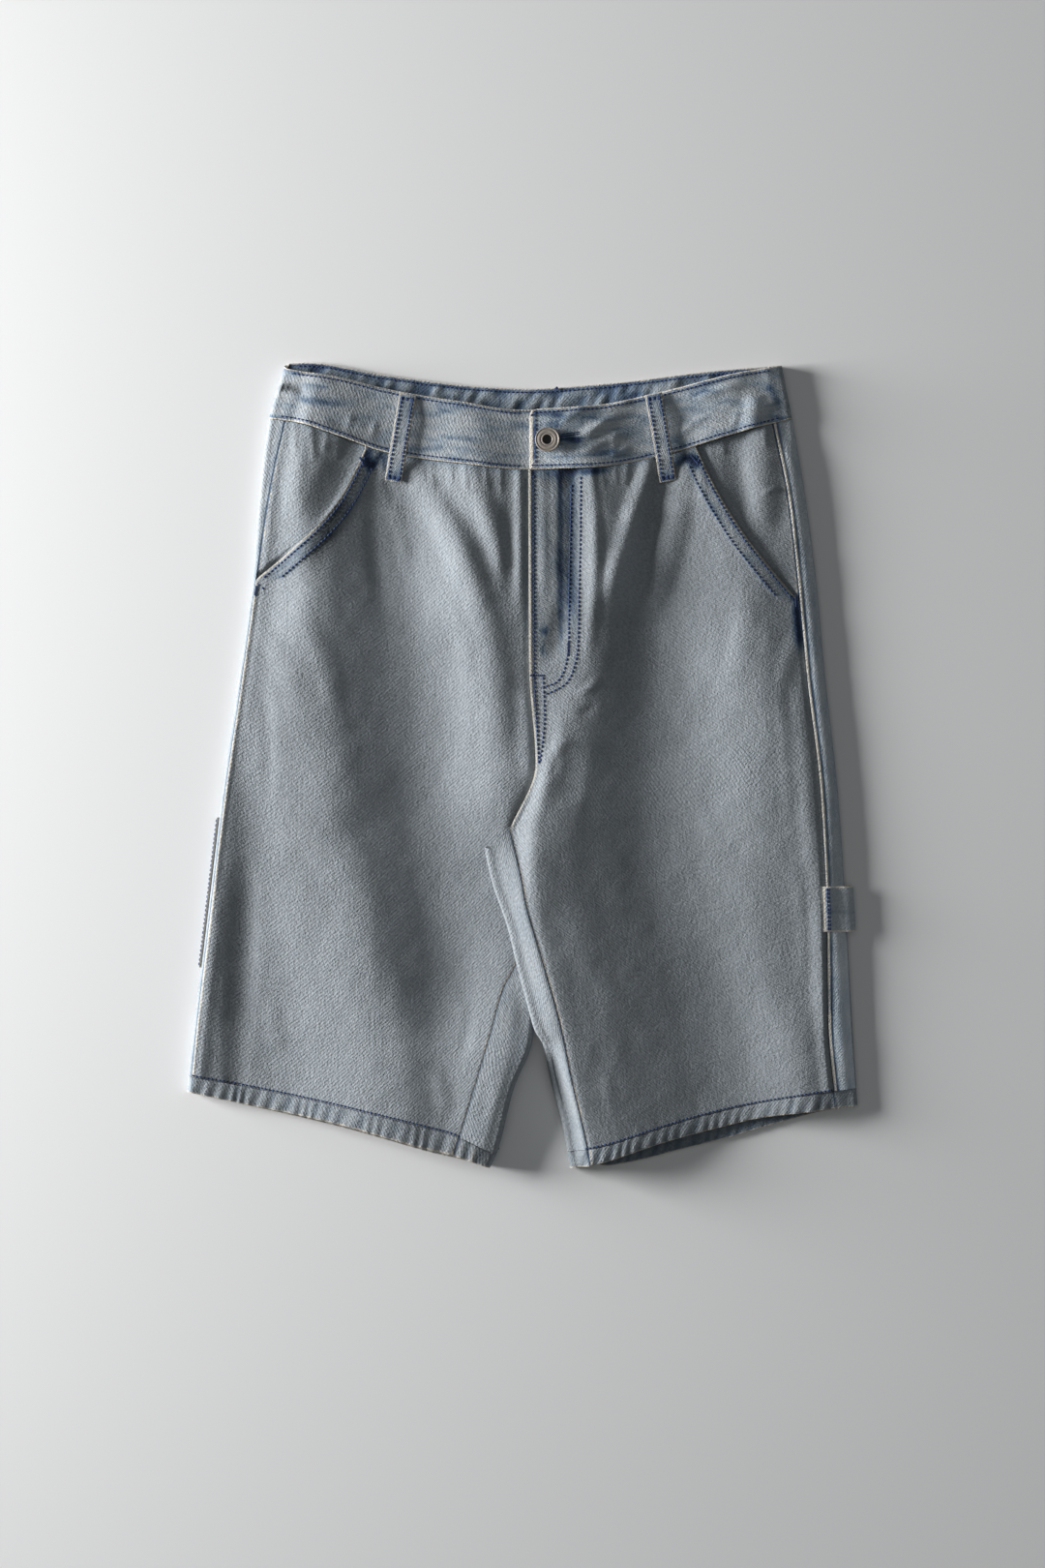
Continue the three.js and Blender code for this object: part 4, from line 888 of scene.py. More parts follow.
def back_grid(leg):
    above, below = np.linspace(0, 1, 86), np.linspace(0, 1, 76)[1:]
    blocks, names, shares = [], [], []
    for part, count in BACK_PARTS.items():
        t = np.linspace(0, 1, count + 1)[0 if part == "side" else 1:]
        crotch = crotch_y(leg, part, t)
        top = waist_y(leg, part, t) if part in ("side", "floor") else crotch
        bottom = hem_line(leg, "stitch", part, t, lambda y: leg_point(leg, part, t, y)[0]) + SEAM_GAP
        rows = [lerp(top, crotch, v) for v in above] + [lerp(crotch, bottom, v) for v in below]
        blocks.append(np.array([back_line(leg, part, t, y) for y in rows]))
        names += [part] * len(t)
        shares += list(t)
    points = np.concatenate(blocks, 1)
    live = np.ones((len(points) - 1, len(names) - 1), bool)
    live[:len(above) - 1, BACK_PARTS["side"] + BACK_PARTS["floor"]:] = False
    return points, live, (np.array(names)[None, :], np.array(shares)[None, :])


def seam_share(leg, x, y):
    """How far a point of the side strip is from the side seam, as a share of the strip's width."""
    seam = edge_at(leg["seam"], y)
    return (x - seam) / (edge_at(leg["edge"], y) - seam)


WELT = {"from": 1.1, "half": 1.3, "high": 0.6}
SIDE_HUMP = {"share": 0.52, "half": 0.42, "high": 1.2, "top": 222, "ease": 20}


def back_relief(leg, points, columns):
    x, y = points[..., 0], points[..., 1]
    names, shares = columns
    calm = ramp(np.minimum(shares, 1 - shares) / 0.08)
    flat = (names == "floor") * calm * (1.1 + strokes(UNDER_CREASES, x, y) + 0.5 * soft_noise(x, y, 26, 70))
    above_hem = ramp((y - look(leg["hem"], "x", "stitch", x) - 6) / 14)
    ease = above_hem * ramp((look(WAIST_BACK, "x", "seam", x) - y) / 8)
    creases = strokes(FLAP_CREASES, x, y) + 0.5 * cloth_noise(x, y, 61)
    strip = (names == "strip") * creases * ramp(1 - shares)
    on_side = (names == "side") * (shares < 0.5)
    outer = on_side * 0.6 * cloth_noise(x, y, 62) * ramp(shares / 0.1)
    if leg["side"] > 0:
        welt = WELT["high"] * crown(x - edge_at("leftSeam", y) - WELT["from"], WELT["half"])
        hump = SIDE_HUMP["high"] * crown(seam_share(leg, x, y) - SIDE_HUMP["share"], SIDE_HUMP["half"]) ** 2
        outer = outer + on_side * (welt + hump * ramp((SIDE_HUMP["top"] - y) / SIDE_HUMP["ease"]))
        strip = strip + (names == "strip") * inseam_rise(x, y)
    return np.clip(flat - 1.1 * (names == "floor") * calm, 0, None) * ease + strip + outer


def back_marks(leg, points, columns):
    x, y = points[..., 0], points[..., 1]
    names, shares = columns
    seam = np.abs(x - edge_at(leg["seam"], y))
    inseam = np.abs(x - look(leg["inseam"], "y", "x", y))
    on_side, on_strip, left = (names == "side") & (shares < 0.7), names == "strip", leg["side"] > 0
    streaks = soft_noise(5 * (x - edge_at(leg["edge"], y)), y, 16, 66) + 0.5 * soft_noise(x, y, 24, 67)
    beside_welt = line_of(seam - 2.6, 0.9) if left else 0.6 * fading(seam, 1.5)
    dye = on_side * (0.05 * left + (0.06 + 0.05 * left) * streaks + 0.45 * beside_welt)
    dye = dye + on_strip * (0.02 + 0.5 * fading(inseam, 0.8) + 0.06 * soft_noise(x, y, 14, 68))
    dye = dye + (names == "floor") * (0.12 + 0.1 * soft_noise(x, y, 40, 69))
    # Painted light and shade: the side strips are lightened where they lie in the garment's own shade, the
    # left leg's strip over the flap is darkened where it catches much light, and a painted shadow line runs
    # along the inseam.
    strip_painted_light, side_painted_light = -0.15, -0.1
    if left:
        strip_painted_light, side_painted_light = 0.12 + 0.1 * ramp((y + 170) / 60), -0.75 - 0.6 * ramp((-80 - y) / 60)
    tone = (strip_painted_light + 0.5 * line_of(inseam, 0.9)) * on_strip + side_painted_light * on_side
    edge = np.where(on_side & left, np.abs(seam - 1.0) - 0.8, MARKS["edge"])
    return {"edge": edge, "dye": dye, "fall": on_side * (0.6 if left else 0.4) + 0.3 * on_strip, "tone": tone}


for name, leg in SIDES.items():
    points, live, columns = back_grid(leg)
    points[..., 2] += back_relief(leg, points, columns)
    marks = back_marks(leg, points, columns)
    cloth_wall("back_" + name + "_cloth", points, out=-leg["side"], live=live, marks=marks)

# %% [markdown]
# A hem is the end of a leg, turned up twice and stitched: a closed ring of double cloth. Its puckers show
# in front and, a little, on the back that peeks out below.

# %% The two hems
HEM_PARTS = {"front": 230, "side": 18, "floor": 150, "fold": 50, "strip": 34}
HEM_ROWS = (0, 0.03, 0.08, 0.18, 0.32, 0.46, 0.6, 0.74, 0.85, 0.92, 0.97, 1)


def hem_point(leg, part, t, y):
    if part == "front":
        x = lerp(look(leg["inseam"], "y", "x", y), edge_at(leg["seam"], y), t)
        return x, leg["z"](x, y)
    return leg_point(leg, part, t, y)


def hem_grid(leg):
    blocks, names = [], []
    for part, count in HEM_PARTS.items():
        t = np.linspace(0, 1, count + 1)[:-1]
        line_x = lambda y: hem_point(leg, part, t, y)[0]
        top, low = (hem_line(leg, name, part, t, line_x) for name in ("stitch", "edge"))
        rows = [lerp(top, low, v) for v in HEM_ROWS]
        places = [(hem_point(leg, part, t, y), y) for y in rows]
        blocks.append(np.array([np.stack([x, y, z], 1) for (x, z), y in places]))
        names += [part] * len(t)
    return np.concatenate(blocks, 1), np.array(names)[None, :]


HEM_LENGTH = 12.0


def hem_marks(leg, points, names, v, wave):
    """Where the hem is worn and where it kept its dye: pale on each pucker's crest, blue between them, with
    painted shade in the hollows between the puckers.
    """
    x, y = points[..., 0], points[..., 1]
    shown = (names == "front") | (names == "strip")
    edge = (1 - v) * HEM_LENGTH - 1.0 + 0.5 * soft_noise(x, 0 * v, 4, 21)
    inseam = leg["side"] * (x - look(leg["inseam"], "y", "x", y))
    seam = leg["side"] * (x - edge_at(leg["seam"], y))
    for far in (inseam, seam):
        edge = np.where(shown, np.minimum(edge, np.abs(far - 1.1) - 0.6), edge)
    edge = np.where(shown, np.minimum(edge, 0.15 + 2.4 * (1 - wave) + 0.8 * (v < 0.15)), edge)
    between = 0.2 * (1 - wave) ** 2 * (0.7 + 0.6 * soft_noise(x, 6 * v, 9, 22)) * ramp(v / 0.2)
    lines = 0.5 * line_of(inseam + 0.3, 0.8) + 0.4 * line_of(seam + 0.4, 0.8)
    dye = shown * (between + lines + 0.08 * fading(v * HEM_LENGTH, 1.5)) + (~shown) * 0.08
    # Painted shade in the hollows between the puckers, where their own shadow falls.
    tone = (0.32 * (1 - wave) ** 2 - 0.08) * shown + 0.25 * (names == "strip") - 0.1 * (names == "side")
    return {"edge": edge, "dye": dye, "tone": tone}


def hem_wall(name, leg):
    points, names = hem_grid(leg)
    v = np.array(HEM_ROWS)[:, None]
    shown, under = (names == "front") | (names == "strip"), names == "floor"
    wave = pucker(points[..., 0], v, leg["seed"])
    body = np.clip(1 - np.abs(v - 0.5) * 2, 0, 1) ** 0.5
    points[..., 2] += shown * (PUCKER["high"] * wave * (0.35 + 0.9 * v) + 0.35 * body - 0.1)
    points[..., 2] += shown * (rounded_edge(1 - v, 0.1, 0.5) + rounded_edge(v, 0.06, 0.35))
    thickness = BAND_WALL + under * 0.7 * wave * v
    marks = hem_marks(leg, points, names, v, wave)
    inside = {"edge": (1 - v) * HEM_LENGTH - 0.7, "dye": 0.12 + 0.2 * (1 - wave), "tone": 0.15}
    cloth_wall(name, points, thickness, out=-leg["side"], closed=True, marks=marks, inside=inside)


for name, leg in SIDES.items():
    hem_wall("hem_" + name + "_cloth", leg)

# %% [markdown]
# The waistband is one strip of double cloth. It goes from the hidden end under the button, round the
# wearer's right side, along the table and back over the left side to the lapped end, whose top corner is
# rounded.

# %% The waistband: its line
LAP = {"end": 5, "under": 22, "dip": 2.1, "rise": 1.3, "easeUnder": 36, "easeOver": 60, "corner": 5.5}
BAND_CREASES = chart([
    (26, 206, 84, 240, 4, 4.5, 0.9, 0.3), (34, 201, 80, 224, 3, 4, 0.7, 0.2),
    (48, 232, 76, 246, -2, 4, 0.8, 0.2), (56, 203, 74, 212, 0, 3.5, 0.7, 0.2),
    (24, 222, 46, 236, 3, 4, 0.7, 0.2), (100, 214, 128, 232, 3, 4, 0.7, 0),
    (112, 240, 150, 252, 2, 4, 0.7, 0), (60, 206, 62, 222, 0, 3, 0.5, 0.6),
    (-159, 250, -142, 246, 2, 4.5, -1.6, 0.3), (-150, 258, -120, 252, 0, 4, 0.5, 0),
    (151, 214, 157, 250, 0, 12, 2.2, 1), (40, 212, 60, 228, 2, 5, 0.9, 0.2),
    (-60, 214, -20, 207, 2, 5, 0.5, 0), (-130, 228, -108, 222, 0, 4, -0.5, 0),
    (-100, 216, -96, 230, 0, 3, 0.5, 0.5), (-116, 220, -112, 234, 0, 3, 0.5, 0.5),
    (140, 224, 144, 238, 0, 3, 0.5, 0.5), (-40, 236, -4, 228, 0, 4, -0.4, 0),
    (158, 236, 170, 242, 0, 3.5, 0.6, 0)])


def band_under(x, y):
    base = np.where(x < centre_seam(y), right_z(x, y), left_z(x, y))
    dip = LAP["dip"] * ramp((x - LAP["end"] + LAP["easeUnder"]) / (LAP["easeUnder"] - 1))
    return base + BAND_PROUD - dip


def band_over(x, y):
    return left_z(x, y) + BAND_PROUD + LAP["rise"] * (1 - ramp((x - LAP["end"]) / LAP["easeOver"]))


def band_relief(x, y):
    top, seam = look(WAIST_FRONT, "x", "top", x), look(WAIST_FRONT, "x", "seam", x)
    inside = np.minimum(top - y, y - seam)
    roll = 0.35 * (1 - ramp((inside - 1.2) / 1.6)) + rounded_edge(np.clip(inside, 0, None), 0.9, 0.5)
    return 1.5 * strokes(BAND_CREASES, x, y) + 0.9 * cloth_noise(x, y, 80) + roll


def band_front(height, start, end):
    def place(t, y):
        x = lerp(start(y), end(y), t)
        return x, height(x, y)
    return place


def band_side(leg):
    def place(t, y):
        edge, high = edge_at(leg["edge"], y), rim_of(leg, y) + BAND_PROUD
        return half_round(edge, -leg["side"] * SIDE_ROUND, 0, high, t)
    return place


# %% [markdown]
# The band is cloth folded double, so it is thicker, and its inner side gathers at the back where the
# garment lay slack. The wall gets its thickness, its wear and its painted light and shade from the same grid.

# %% The waistband: its wall
def band_runs():
    right_fold = lambda y: edge_at("rightEdge", y) + SIDE_ROUND
    left_fold = lambda y: edge_at("leftEdge", y) - SIDE_ROUND
    end, hidden = lambda y: LAP["end"], lambda y: LAP["under"]
    back = lambda t, y: (lerp(right_fold(y), left_fold(y), t), 0.0 * y)
    return [("hidden", np.linspace(0, 1, 10), band_front(band_under, hidden, end), 0),
            ("under", np.linspace(0, 1, 93)[1:], band_front(band_under, end, right_fold), 0),
            ("side", np.linspace(0, 1, 15)[1:], band_side(SIDES["right"]), 1),
            ("back", np.linspace(0, 1, 191)[1:], back, 1),
            ("side", np.linspace(0, 1, 15)[1:], lambda t, y: band_side(SIDES["left"])(1 - t, y), -1),
            ("over", spaced(172, 1.9, ())[1:], band_front(band_over, left_fold, end), 0)]


def band_share(part, way, t):
    if part == "side":
        return ramp(t if way > 0 else 1 - t)
    return float(part == "back") + 0 * t


def band_grid():
    rows = spaced(39, 1.9)
    blocks, names = [], []
    for part, t, place, way in band_runs():
        share = band_share(part, way, t)
        edges = []
        for name in ("top", "seam"):
            line = lambda x: lerp(look(WAIST_FRONT, "x", name, x), look(WAIST_BACK, "x", name, x), share)
            edges.append(meet(lambda y: place(t, y)[0], line, t))
        if part == "over":
            radius = LAP["corner"]
            from_end = np.clip(place(t, edges[0])[0] - LAP["end"], 0, radius)
            edges[0] = edges[0] - radius + np.sqrt(radius ** 2 - (radius - from_end) ** 2)
        lines = [lerp(*edges, v) for v in rows]
        blocks.append(np.array([np.stack([place(t, y)[0], y, place(t, y)[1]], 1) for y in lines]))
        names += [part] * len(t)
    return np.concatenate(blocks, 1), np.array(names)[None, :]


LAP_RIDGE = {"from": 2.2, "half": 2.6, "high": 0.4}
BAND_DYE = chart([
    (7, 232, 30, 232, 0, 4, 0.35, 0.9), (8, 203, 9, 231, 0, 3, 0.5, 0.9),
    (24, 216, 42, 214, 0, 4, 0.7, 0.9), (14, 224, 28, 222, 0, 6, 0.4, 0.5),
    (30, 222, 44, 228, 0, 4, 0.35, 0.5), (20, 203, 60, 206, 0, 3, 0.3, 0.5),
    (88, 212, 110, 216, 0, 5, 0.4, 0.7), (164, 250, 172, 236, 0, 5, 0.4, 0.7)])
# Painted shade: dark creases painted onto the band.
BAND_PAINTED_SHADE = chart([
    (-160, 250, -142, 246, 2, 4.5, 0.6, 0.4), (90, 247, 100, 206, 0, 9, 0.15, 0.6),
    (20, 233, 22, 203, 0, 17, 0.45, 0.9)])


def band_marks(x, y, names, down):
    rim = np.minimum(down, down[-1:] - down)
    left = names == "over"
    end = np.where(left, np.abs(x - LAP["end"]), 99)
    edge = np.minimum(rim - 0.9, end - 2.4) + 0.25 * soft_noise(x, y, 5, 92)
    dye = 0.06 + 0.16 * fading(rim - 1, 2.0) + left * 0.04 + 0.2 * soft_noise(x, 4 * y, 20, 93)
    dye = dye + 0.14 * soft_noise(x + 2 * y, 4 * y, 9, 88) + left * strokes(BAND_DYE, x, y)
    # Painted shade from the strokes; painted light lightens the whole band a little and the lapped part more,
    # where it lies in shade; the colour is a little darker in a thin line right at the lapped end.
    tone = strokes(BAND_PAINTED_SHADE, x, y) - 0.1 - 0.4 * left + 0.2 * (end < 0.8)
    return {"edge": edge, "dye": dye, "streak": 1.2, "tone": tone}


def band_wall():
    points, names = band_grid()
    x, y = points[..., 0], points[..., 1]
    front = (names == "under") | (names == "over") | (names == "hidden")
    points[..., 2] += front * band_relief(x, y) * np.where(names == "hidden", 0.3, 1)
    ridge = LAP_RIDGE["high"] * crown(x - LAP["end"] - LAP_RIDGE["from"], LAP_RIDGE["half"])
    points[..., 2] += (names == "over") * ridge
    down = run_of(points, 0)
    width = down[-1:]
    gathers = 0.9 * soft_noise(x + 0.5 * down, 0.3 * down, 4.5, 91) + 0.3 * soft_noise(x, down, 13, 90)
    ripple = np.clip(0.5 + gathers, 0, 1)
    thickness = BAND_WALL + (names == "back") * 1.5 * ripple * ramp(down / 5) * ramp((width - down) / 8)
    inner_dye = 0.45 - 0.35 * ripple * ramp(down / 6) + 0.12 * soft_noise(x, y, 15, 94)
    inside = {"edge": np.minimum(down, width - down) - 0.6, "dye": inner_dye, "streak": 0.5, "tone": -0.25}
    cloth_wall("waistband_cloth", points, thickness, marks=band_marks(x, y, names, down), inside=inside)
    return points, names, thickness + 0 * x


BAND_POINTS, BAND_NAMES, BAND_WALLS = band_wall()

# %% [markdown]
# Belt loops are short straps of folded cloth, sewn down at both ends and arched between. The long edges are
# worn to cream, and a dense navy bar of thread holds each end.

# %% Straps
LOOP = {"width": 11.5, "wall": 1.8, "arch": 2.2, "clear": 1, "stepFrom": 10, "stepOver": 8, "rise": 0.3}
LOOP_PLACES = {"right": ((-75, 245), (-85, 188), right_z), "left": ((87, 245.5), (97, 188), left_z)}


def loop_line(place, t):
    (x0, y0), (x1, y1), height = place
    x, y = lerp(x0, x1, t), lerp(y0, y1, t)
    step = BAND_PROUD * ramp((y - look(WAIST_FRONT, "x", "seam", x) + LOOP["stepFrom"]) / LOOP["stepOver"])
    arch = LOOP["arch"] * ramp(np.minimum(t, 1 - t) / LOOP["rise"])
    return x, y, height(x, y) + step + LOOP["clear"] + arch + LOOP["wall"]


def loop_frame(place):
    (x0, y0), (x1, y1), _ = place
    length = math.hypot(x1 - x0, y1 - y0)
    return length, (-(y1 - y0) / length, (x1 - x0) / length)


def belt_loop(name, place):
    length, across = loop_frame(place)
    t = spaced(length, 1.6)[None, :]
    s = (spaced(LOOP["width"], 1.2, EDGE_LINES[:3], EDGE_LINES[:3])[:, None] - 0.5) * LOOP["width"]
    x, y, z = loop_line(place, t)
    rim = LOOP["width"] / 2 - np.abs(s)
    end = np.minimum(t, 1 - t) * length
    arched = 0.12 * np.sin(math.pi * (0.5 + s / LOOP["width"])) + 0.2 * soft_noise(s, t * length, 5, 95)
    z = z + arched + rounded_edge(rim, 0.6, 0.3) + rounded_edge(end, 0.9, 0.5)
    mottle = 0.2 * soft_noise(s, t * length, 6, 99)
    edge = np.minimum(rim - 1.0, end - 0.5) + 0.25 * soft_noise(s, t * length, 4, 96)
    dye = 0.06 + mottle + 0.12 * fading(np.abs(rim - 2.2), 1) + 0.4 * fading(end, 4)
    # Painted shade darkens the long edges, whose sides face the lamp; the rest of the strap is a little
    # lighter.
    marks = {"edge": edge, "dye": dye, "streak": 1.0, "tone": 0.5 * (rim < 0.7) - 0.2}
    return cloth_wall(name, stack(x + across[0] * s, y + across[1] * s, z), LOOP["wall"], marks=marks)


for name, place in LOOP_PLACES.items():
    belt_loop("belt_loop_" + name + "_cloth", place)

# %% [markdown]
# The hammer loop leaves the side seam, stands off over the edge of the leg and goes back under it. The tool
# pocket is a patch on the back of the other leg, whose stitched edge just shows at the side.

# %% Hammer loop and tool pocket
def hammer_grid():
    h = HAMMER_LOOP
    rows = spaced(h["top"] - h["bottom"], 1.6)
    lines = []
    for v in rows:
        y = lerp(h["top"], h["bottom"], v)
        edge = edge_at("leftEdge", y)
        start, turn_x = edge_at("leftSeam", y) - h["inset"], edge - h["inset"]
        over = start + np.array([0, 0.4, 1, 1.7, 2.6, *np.linspace(4, turn_x - start, 8)])
        slack = h["slack"] * ramp((over - start) / (turn_x - start))
        lie = left_z(over, np.full(over.shape, y)) + SEAM_GAP + h["wall"] + slack
        turns = np.linspace(0, 1, 26)[1:]
        round_x, round_z = half_round(edge + h["reach"], -(h["reach"] + h["inset"]), 0, lie[-1], turns)
        under = np.linspace(turn_x, edge - h["tuck"], 8)[1:]
        xs, zs = np.concatenate([over, round_x, under]), np.concatenate([lie, round_z, 0 * under])
        lines.append(np.stack([xs, 0 * xs + y, zs], 1))
    return np.array(lines), rows


def hammer_loop():
    points, rows = hammer_grid()
    length = HAMMER_LOOP["top"] - HAMMER_LOOP["bottom"]
    down = rows[:, None] * length
    rim = np.minimum(down, length - down)
    far = run_of(points, 1)
    upper = far < 14
    points[..., 2] += upper * (0.25 * soft_noise(far, down, 6, 97) + rounded_edge(rim, 0.9, 0.4))
    middle = np.abs(down - length / 2)
    points[..., 2] += upper * 0.3 * np.clip(1 - middle / 1.2, 0, 1)
    edge = np.minimum(np.minimum(rim - 1.0, far - 1.3), middle + 0.5 + 0.9 * soft_noise(far, down, 5, 98))
    dye = 0.02 + 0.25 * fading(np.abs(far - 3), 1.5) + 0.2 * fading(np.abs(middle - 1.5), 1)
    marks = {"edge": edge, "dye": dye, "streak": 0.7, "tone": -0.6}
    cloth_wall("hammer_loop_cloth", points, HAMMER_LOOP["wall"], out=-1, marks=marks)
    return points


def tool_pocket():
    p = TOOL_POCKET
    shift = p["wall"] + SEAM_GAP
    rows = spaced(p["top"] - p["bottom"] - 2 * SEAM_GAP, 2.2)
    lines = []
    for v in rows:
        y = lerp(p["top"] - SEAM_GAP, p["bottom"] + SEAM_GAP, v)
        edge = edge_at("rightEdge", y)
        high = rim_of(SIDES["right"], y) + shift
        x, z = half_round(edge - shift, SIDE_ROUND + shift, 0, high, np.linspace(p["firstTurn"], 1, 20))
        flat = np.linspace(edge + SIDE_ROUND, p["inner"], 40)[1:]
        xs, zs = np.append(x, flat), np.append(z, 0 * flat)
        lines.append(np.stack([xs, 0 * xs + y, zs], 1))
    points = np.array(lines)
    length = p["top"] - p["bottom"]
    rim = np.minimum(rows, 1 - rows)[:, None] * length
    far = run_of(points, 1)
    border = np.minimum(np.minimum(rim, far), far[:, -1:] - far)
    marks = {"edge": border - 0.9, "dye": 0.12 + 0.5 * fading(border, 2.5), "streak": 0.7}
    cloth_wall("tool_pocket_cloth", points, p["wall"], marks=marks)
    return points


HAMMER_POINTS = hammer_loop()
TOOL_POINTS = tool_pocket()

# %% [markdown]
# Stitches are real thread here: short rounded lengths that dip into the cloth at both ends, laid along a
# line on the surface. One small stitch is modelled as a template, and every row is that template repeated.

# %% Thread
STITCH = {"pitch": 2.9, "length": 2.1, "radius": 0.56, "sunk": 0.16}
RING_SIDES = 6
STITCH_RINGS = [dict(zip("share radius high".split(), row)) for row in (
    (0.0, 0.35, -0.22), (0.14, 0.85, -0.04), (0.5, 1.0, 0.06), (0.86, 0.85, -0.04), (1.0, 0.35, -0.22))]


def stitch_template():
    turns = np.linspace(0, 2 * math.pi, RING_SIDES, endpoint=False)
    verts = [(ring["share"] - 0.5, ring["radius"] * math.cos(a), ring["radius"] * math.sin(a), ring["high"])
             for ring in STITCH_RINGS for a in turns]
    faces = []
    for k in range(len(STITCH_RINGS) - 1):
        for s in range(RING_SIDES):
            a, b = k * RING_SIDES + s, k * RING_SIDES + (s + 1) % RING_SIDES
            faces.append((a, b, b + RING_SIDES, a + RING_SIDES))
    last = (len(STITCH_RINGS) - 1) * RING_SIDES
    caps = [tuple(range(RING_SIDES - 1, -1, -1)), tuple(range(last, last + RING_SIDES))]
    return np.array(verts), faces, caps


def path_run(path):
    return np.concatenate([[0], np.cumsum(np.linalg.norm(np.diff(path, axis=0), axis=1))])


def lay_stitches(path, up=(0, 0, 1), pitch=STITCH["pitch"], length=STITCH["length"], radius=STITCH["radius"]):
    path = np.asarray(path, float)
    far = path_run(path)
    count = max(1, int(far[-1] / pitch))
    at = (np.arange(count) + 0.5) * far[-1] / count
    sample = lambda d: np.stack([np.interp(d, far, path[:, k]) for k in range(3)], 1)
    centre, step = sample(at), sample(at + 0.4 * length) - sample(at - 0.4 * length)
    ahead = step / np.linalg.norm(step, axis=1, keepdims=True)
    side = np.cross(np.array(up, float), ahead)
    side /= np.linalg.norm(side, axis=1, keepdims=True)
    top = np.cross(ahead, side)
    verts = stitch_template()[0]
    along, across, over, high = (verts[None, :, k:k + 1] for k in range(4))
    raised = over * radius + high + radius * 0.5 - STITCH["sunk"]
    where = centre[:, None] + ahead[:, None] * along * length + side[:, None] * across * radius
    return (where + top[:, None] * raised).reshape(-1, 3)


def sew(name, paths, **settings):
    template, sides, caps = stitch_template()
    per = len(template)
    verts = np.vstack([lay_stitches(path, **settings) for path in paths])
    count = len(verts) // per
    faces = [tuple(v + k * per for v in face) for k in range(count) for face in (*sides, *caps)]
    mesh = bpy.data.meshes.new(name)
    mesh.from_pydata(((verts + MOVED) * MM).tolist(), [], faces)
    mesh.polygons.foreach_set("use_smooth", [True] * len(mesh.polygons))
    piece = bpy.data.objects.new(name, mesh)
    bpy.context.scene.collection.objects.link(piece)
    THREADS[name] = piece
    print(name, "stitches:", count)
    return piece


# %% [markdown]
# Where the rows of stitching run. Two rows follow each pocket mouth and the curve of the fly, two hold the
# seam below it, one runs beside the fly's edge and one along each edge of the waistband, and one holds each
# hem. Dense short bars of thread lock the ends of the pocket mouths and of the fly.

# %% Rows on the fronts
def on_front(leg, xs, ys):
    xs, ys = np.asarray(xs, float), np.asarray(ys, float)
    return np.stack([xs, ys, front_z(leg, xs, ys)], 1)


def smooth_line(points, pitch=1.0):
    points = np.array(points, float)
    far = path_run(points)
    rows = {"at": far, "x": points[:, 0], "y": points[:, 1]}
    at = np.linspace(0, far[-1], int(far[-1] / pitch) + 2)
    return look(rows, "at", "x", at), look(rows, "at", "y", at)


def pocket_row(leg, inset, start, end):
    ys = np.linspace(start, end, 120)
    mouth = look(leg["pocket"], "y", "x", ys)
    run = np.gradient(mouth, ys)
    size = np.sqrt(1 + run * run)
    return on_front(leg, mouth - leg["side"] * inset / size, ys + leg["side"] * inset * run / size)


def beside_fly(inset, start, end):
    ys = np.linspace(start, end, 90)
    return on_front(SIDES["left"], centre_seam(ys) + inset, ys)


def tack_on_front(leg, start, end, rows=2, gap=0.55):
    """A dense bar of thread: short rows side by side from one point to another."""
    (x0, y0), (x1, y1) = start, end
    length = math.hypot(x1 - x0, y1 - y0)
    side = (-(y1 - y0) / length, (x1 - x0) / length)
    shifts = [gap * (k - (rows - 1) / 2) for k in range(rows)]
    t = np.linspace(0, 1, 12)
    return [on_front(leg, lerp(x0, x1, t) + side[0] * d, lerp(y0, y1, t) + side[1] * d) for d in shifts]


FLY_ROW = {"inset": 3.4, "top": 192, "bottom": 60}
HEM_THREAD = {"pitch": 2.6, "length": 1.75}
J_OUTER = [(39, 191), (38.7, 150), (37.8, 109), (37, 77), (34.5, 64.6), (30, 55), (23, 50), (15.4, 46.8)]
J_INNER = [(33, 186), (31.5, 120), (30.8, 78), (28.2, 63.4), (23, 55), (15.4, 51.8)]
CENTRE_ROWS = ([(8.3, 59), (9, 45), (11.3, 1)], [(14.2, 59), (15, 33), (12.4, 2)])
for name, leg in SIDES.items():
    low = leg["pocket"]["y"][0]
    top = leg["pocket"]["y"][-1]
    near, beyond = POCKET_ROWS
    rows = [pocket_row(leg, near, top - 4, low + 3), pocket_row(leg, beyond, top - 8, low + 9)]
    start = look(leg["inseam"], "y", "x", -240) + leg["side"] * 0.5
    end = edge_at(leg["seam"], -215) - leg["side"]
    xs = np.linspace(start, end, 260)
    ys = look(leg["hem"], "x", "stitch", xs) + SEAM_GAP + 0.9
    sew("front_" + name + "_hem_stitches", [on_front(leg, xs, ys)], **HEM_THREAD)
    if name == "left":
        rows.append(beside_fly(FLY_ROW["inset"], FLY_ROW["top"], FLY_ROW["bottom"]))
        rows += [on_front(leg, *smooth_line(line)) for line in (J_OUTER, J_INNER, *CENTRE_ROWS)]
    else:
        rows.append(on_front(leg, *smooth_line([(-175.4, 120.6), (-170, 116.2)], 0.4)))
    sew("front_" + name + "_stitches", rows)
TACK_THREAD = {"pitch": 1.1, "length": 1.5, "radius": 0.42}
TACKS = {"right": [((-175.6, 119), (-176.6, 112.5)), ((-107, 204), (-104, 198))],
         "left": [((30.7, 81), (30.7, 72.5)), ((5.6, 59.4), (15, 59.4)), ((181.6, 113), (182, 105)),
                  ((112, 205), (117, 199))]}
for name, leg in SIDES.items():
    bars = [row for start, end in TACKS[name] for row in tack_on_front(leg, start, end)]
    sew("front_" + name + "_tacks", bars, **TACK_THREAD)

# %% [markdown]
# Thread here is the same as on the fronts. The rows follow the edges of the band and the straps, and dense
# bars hold each strap at both of its ends.

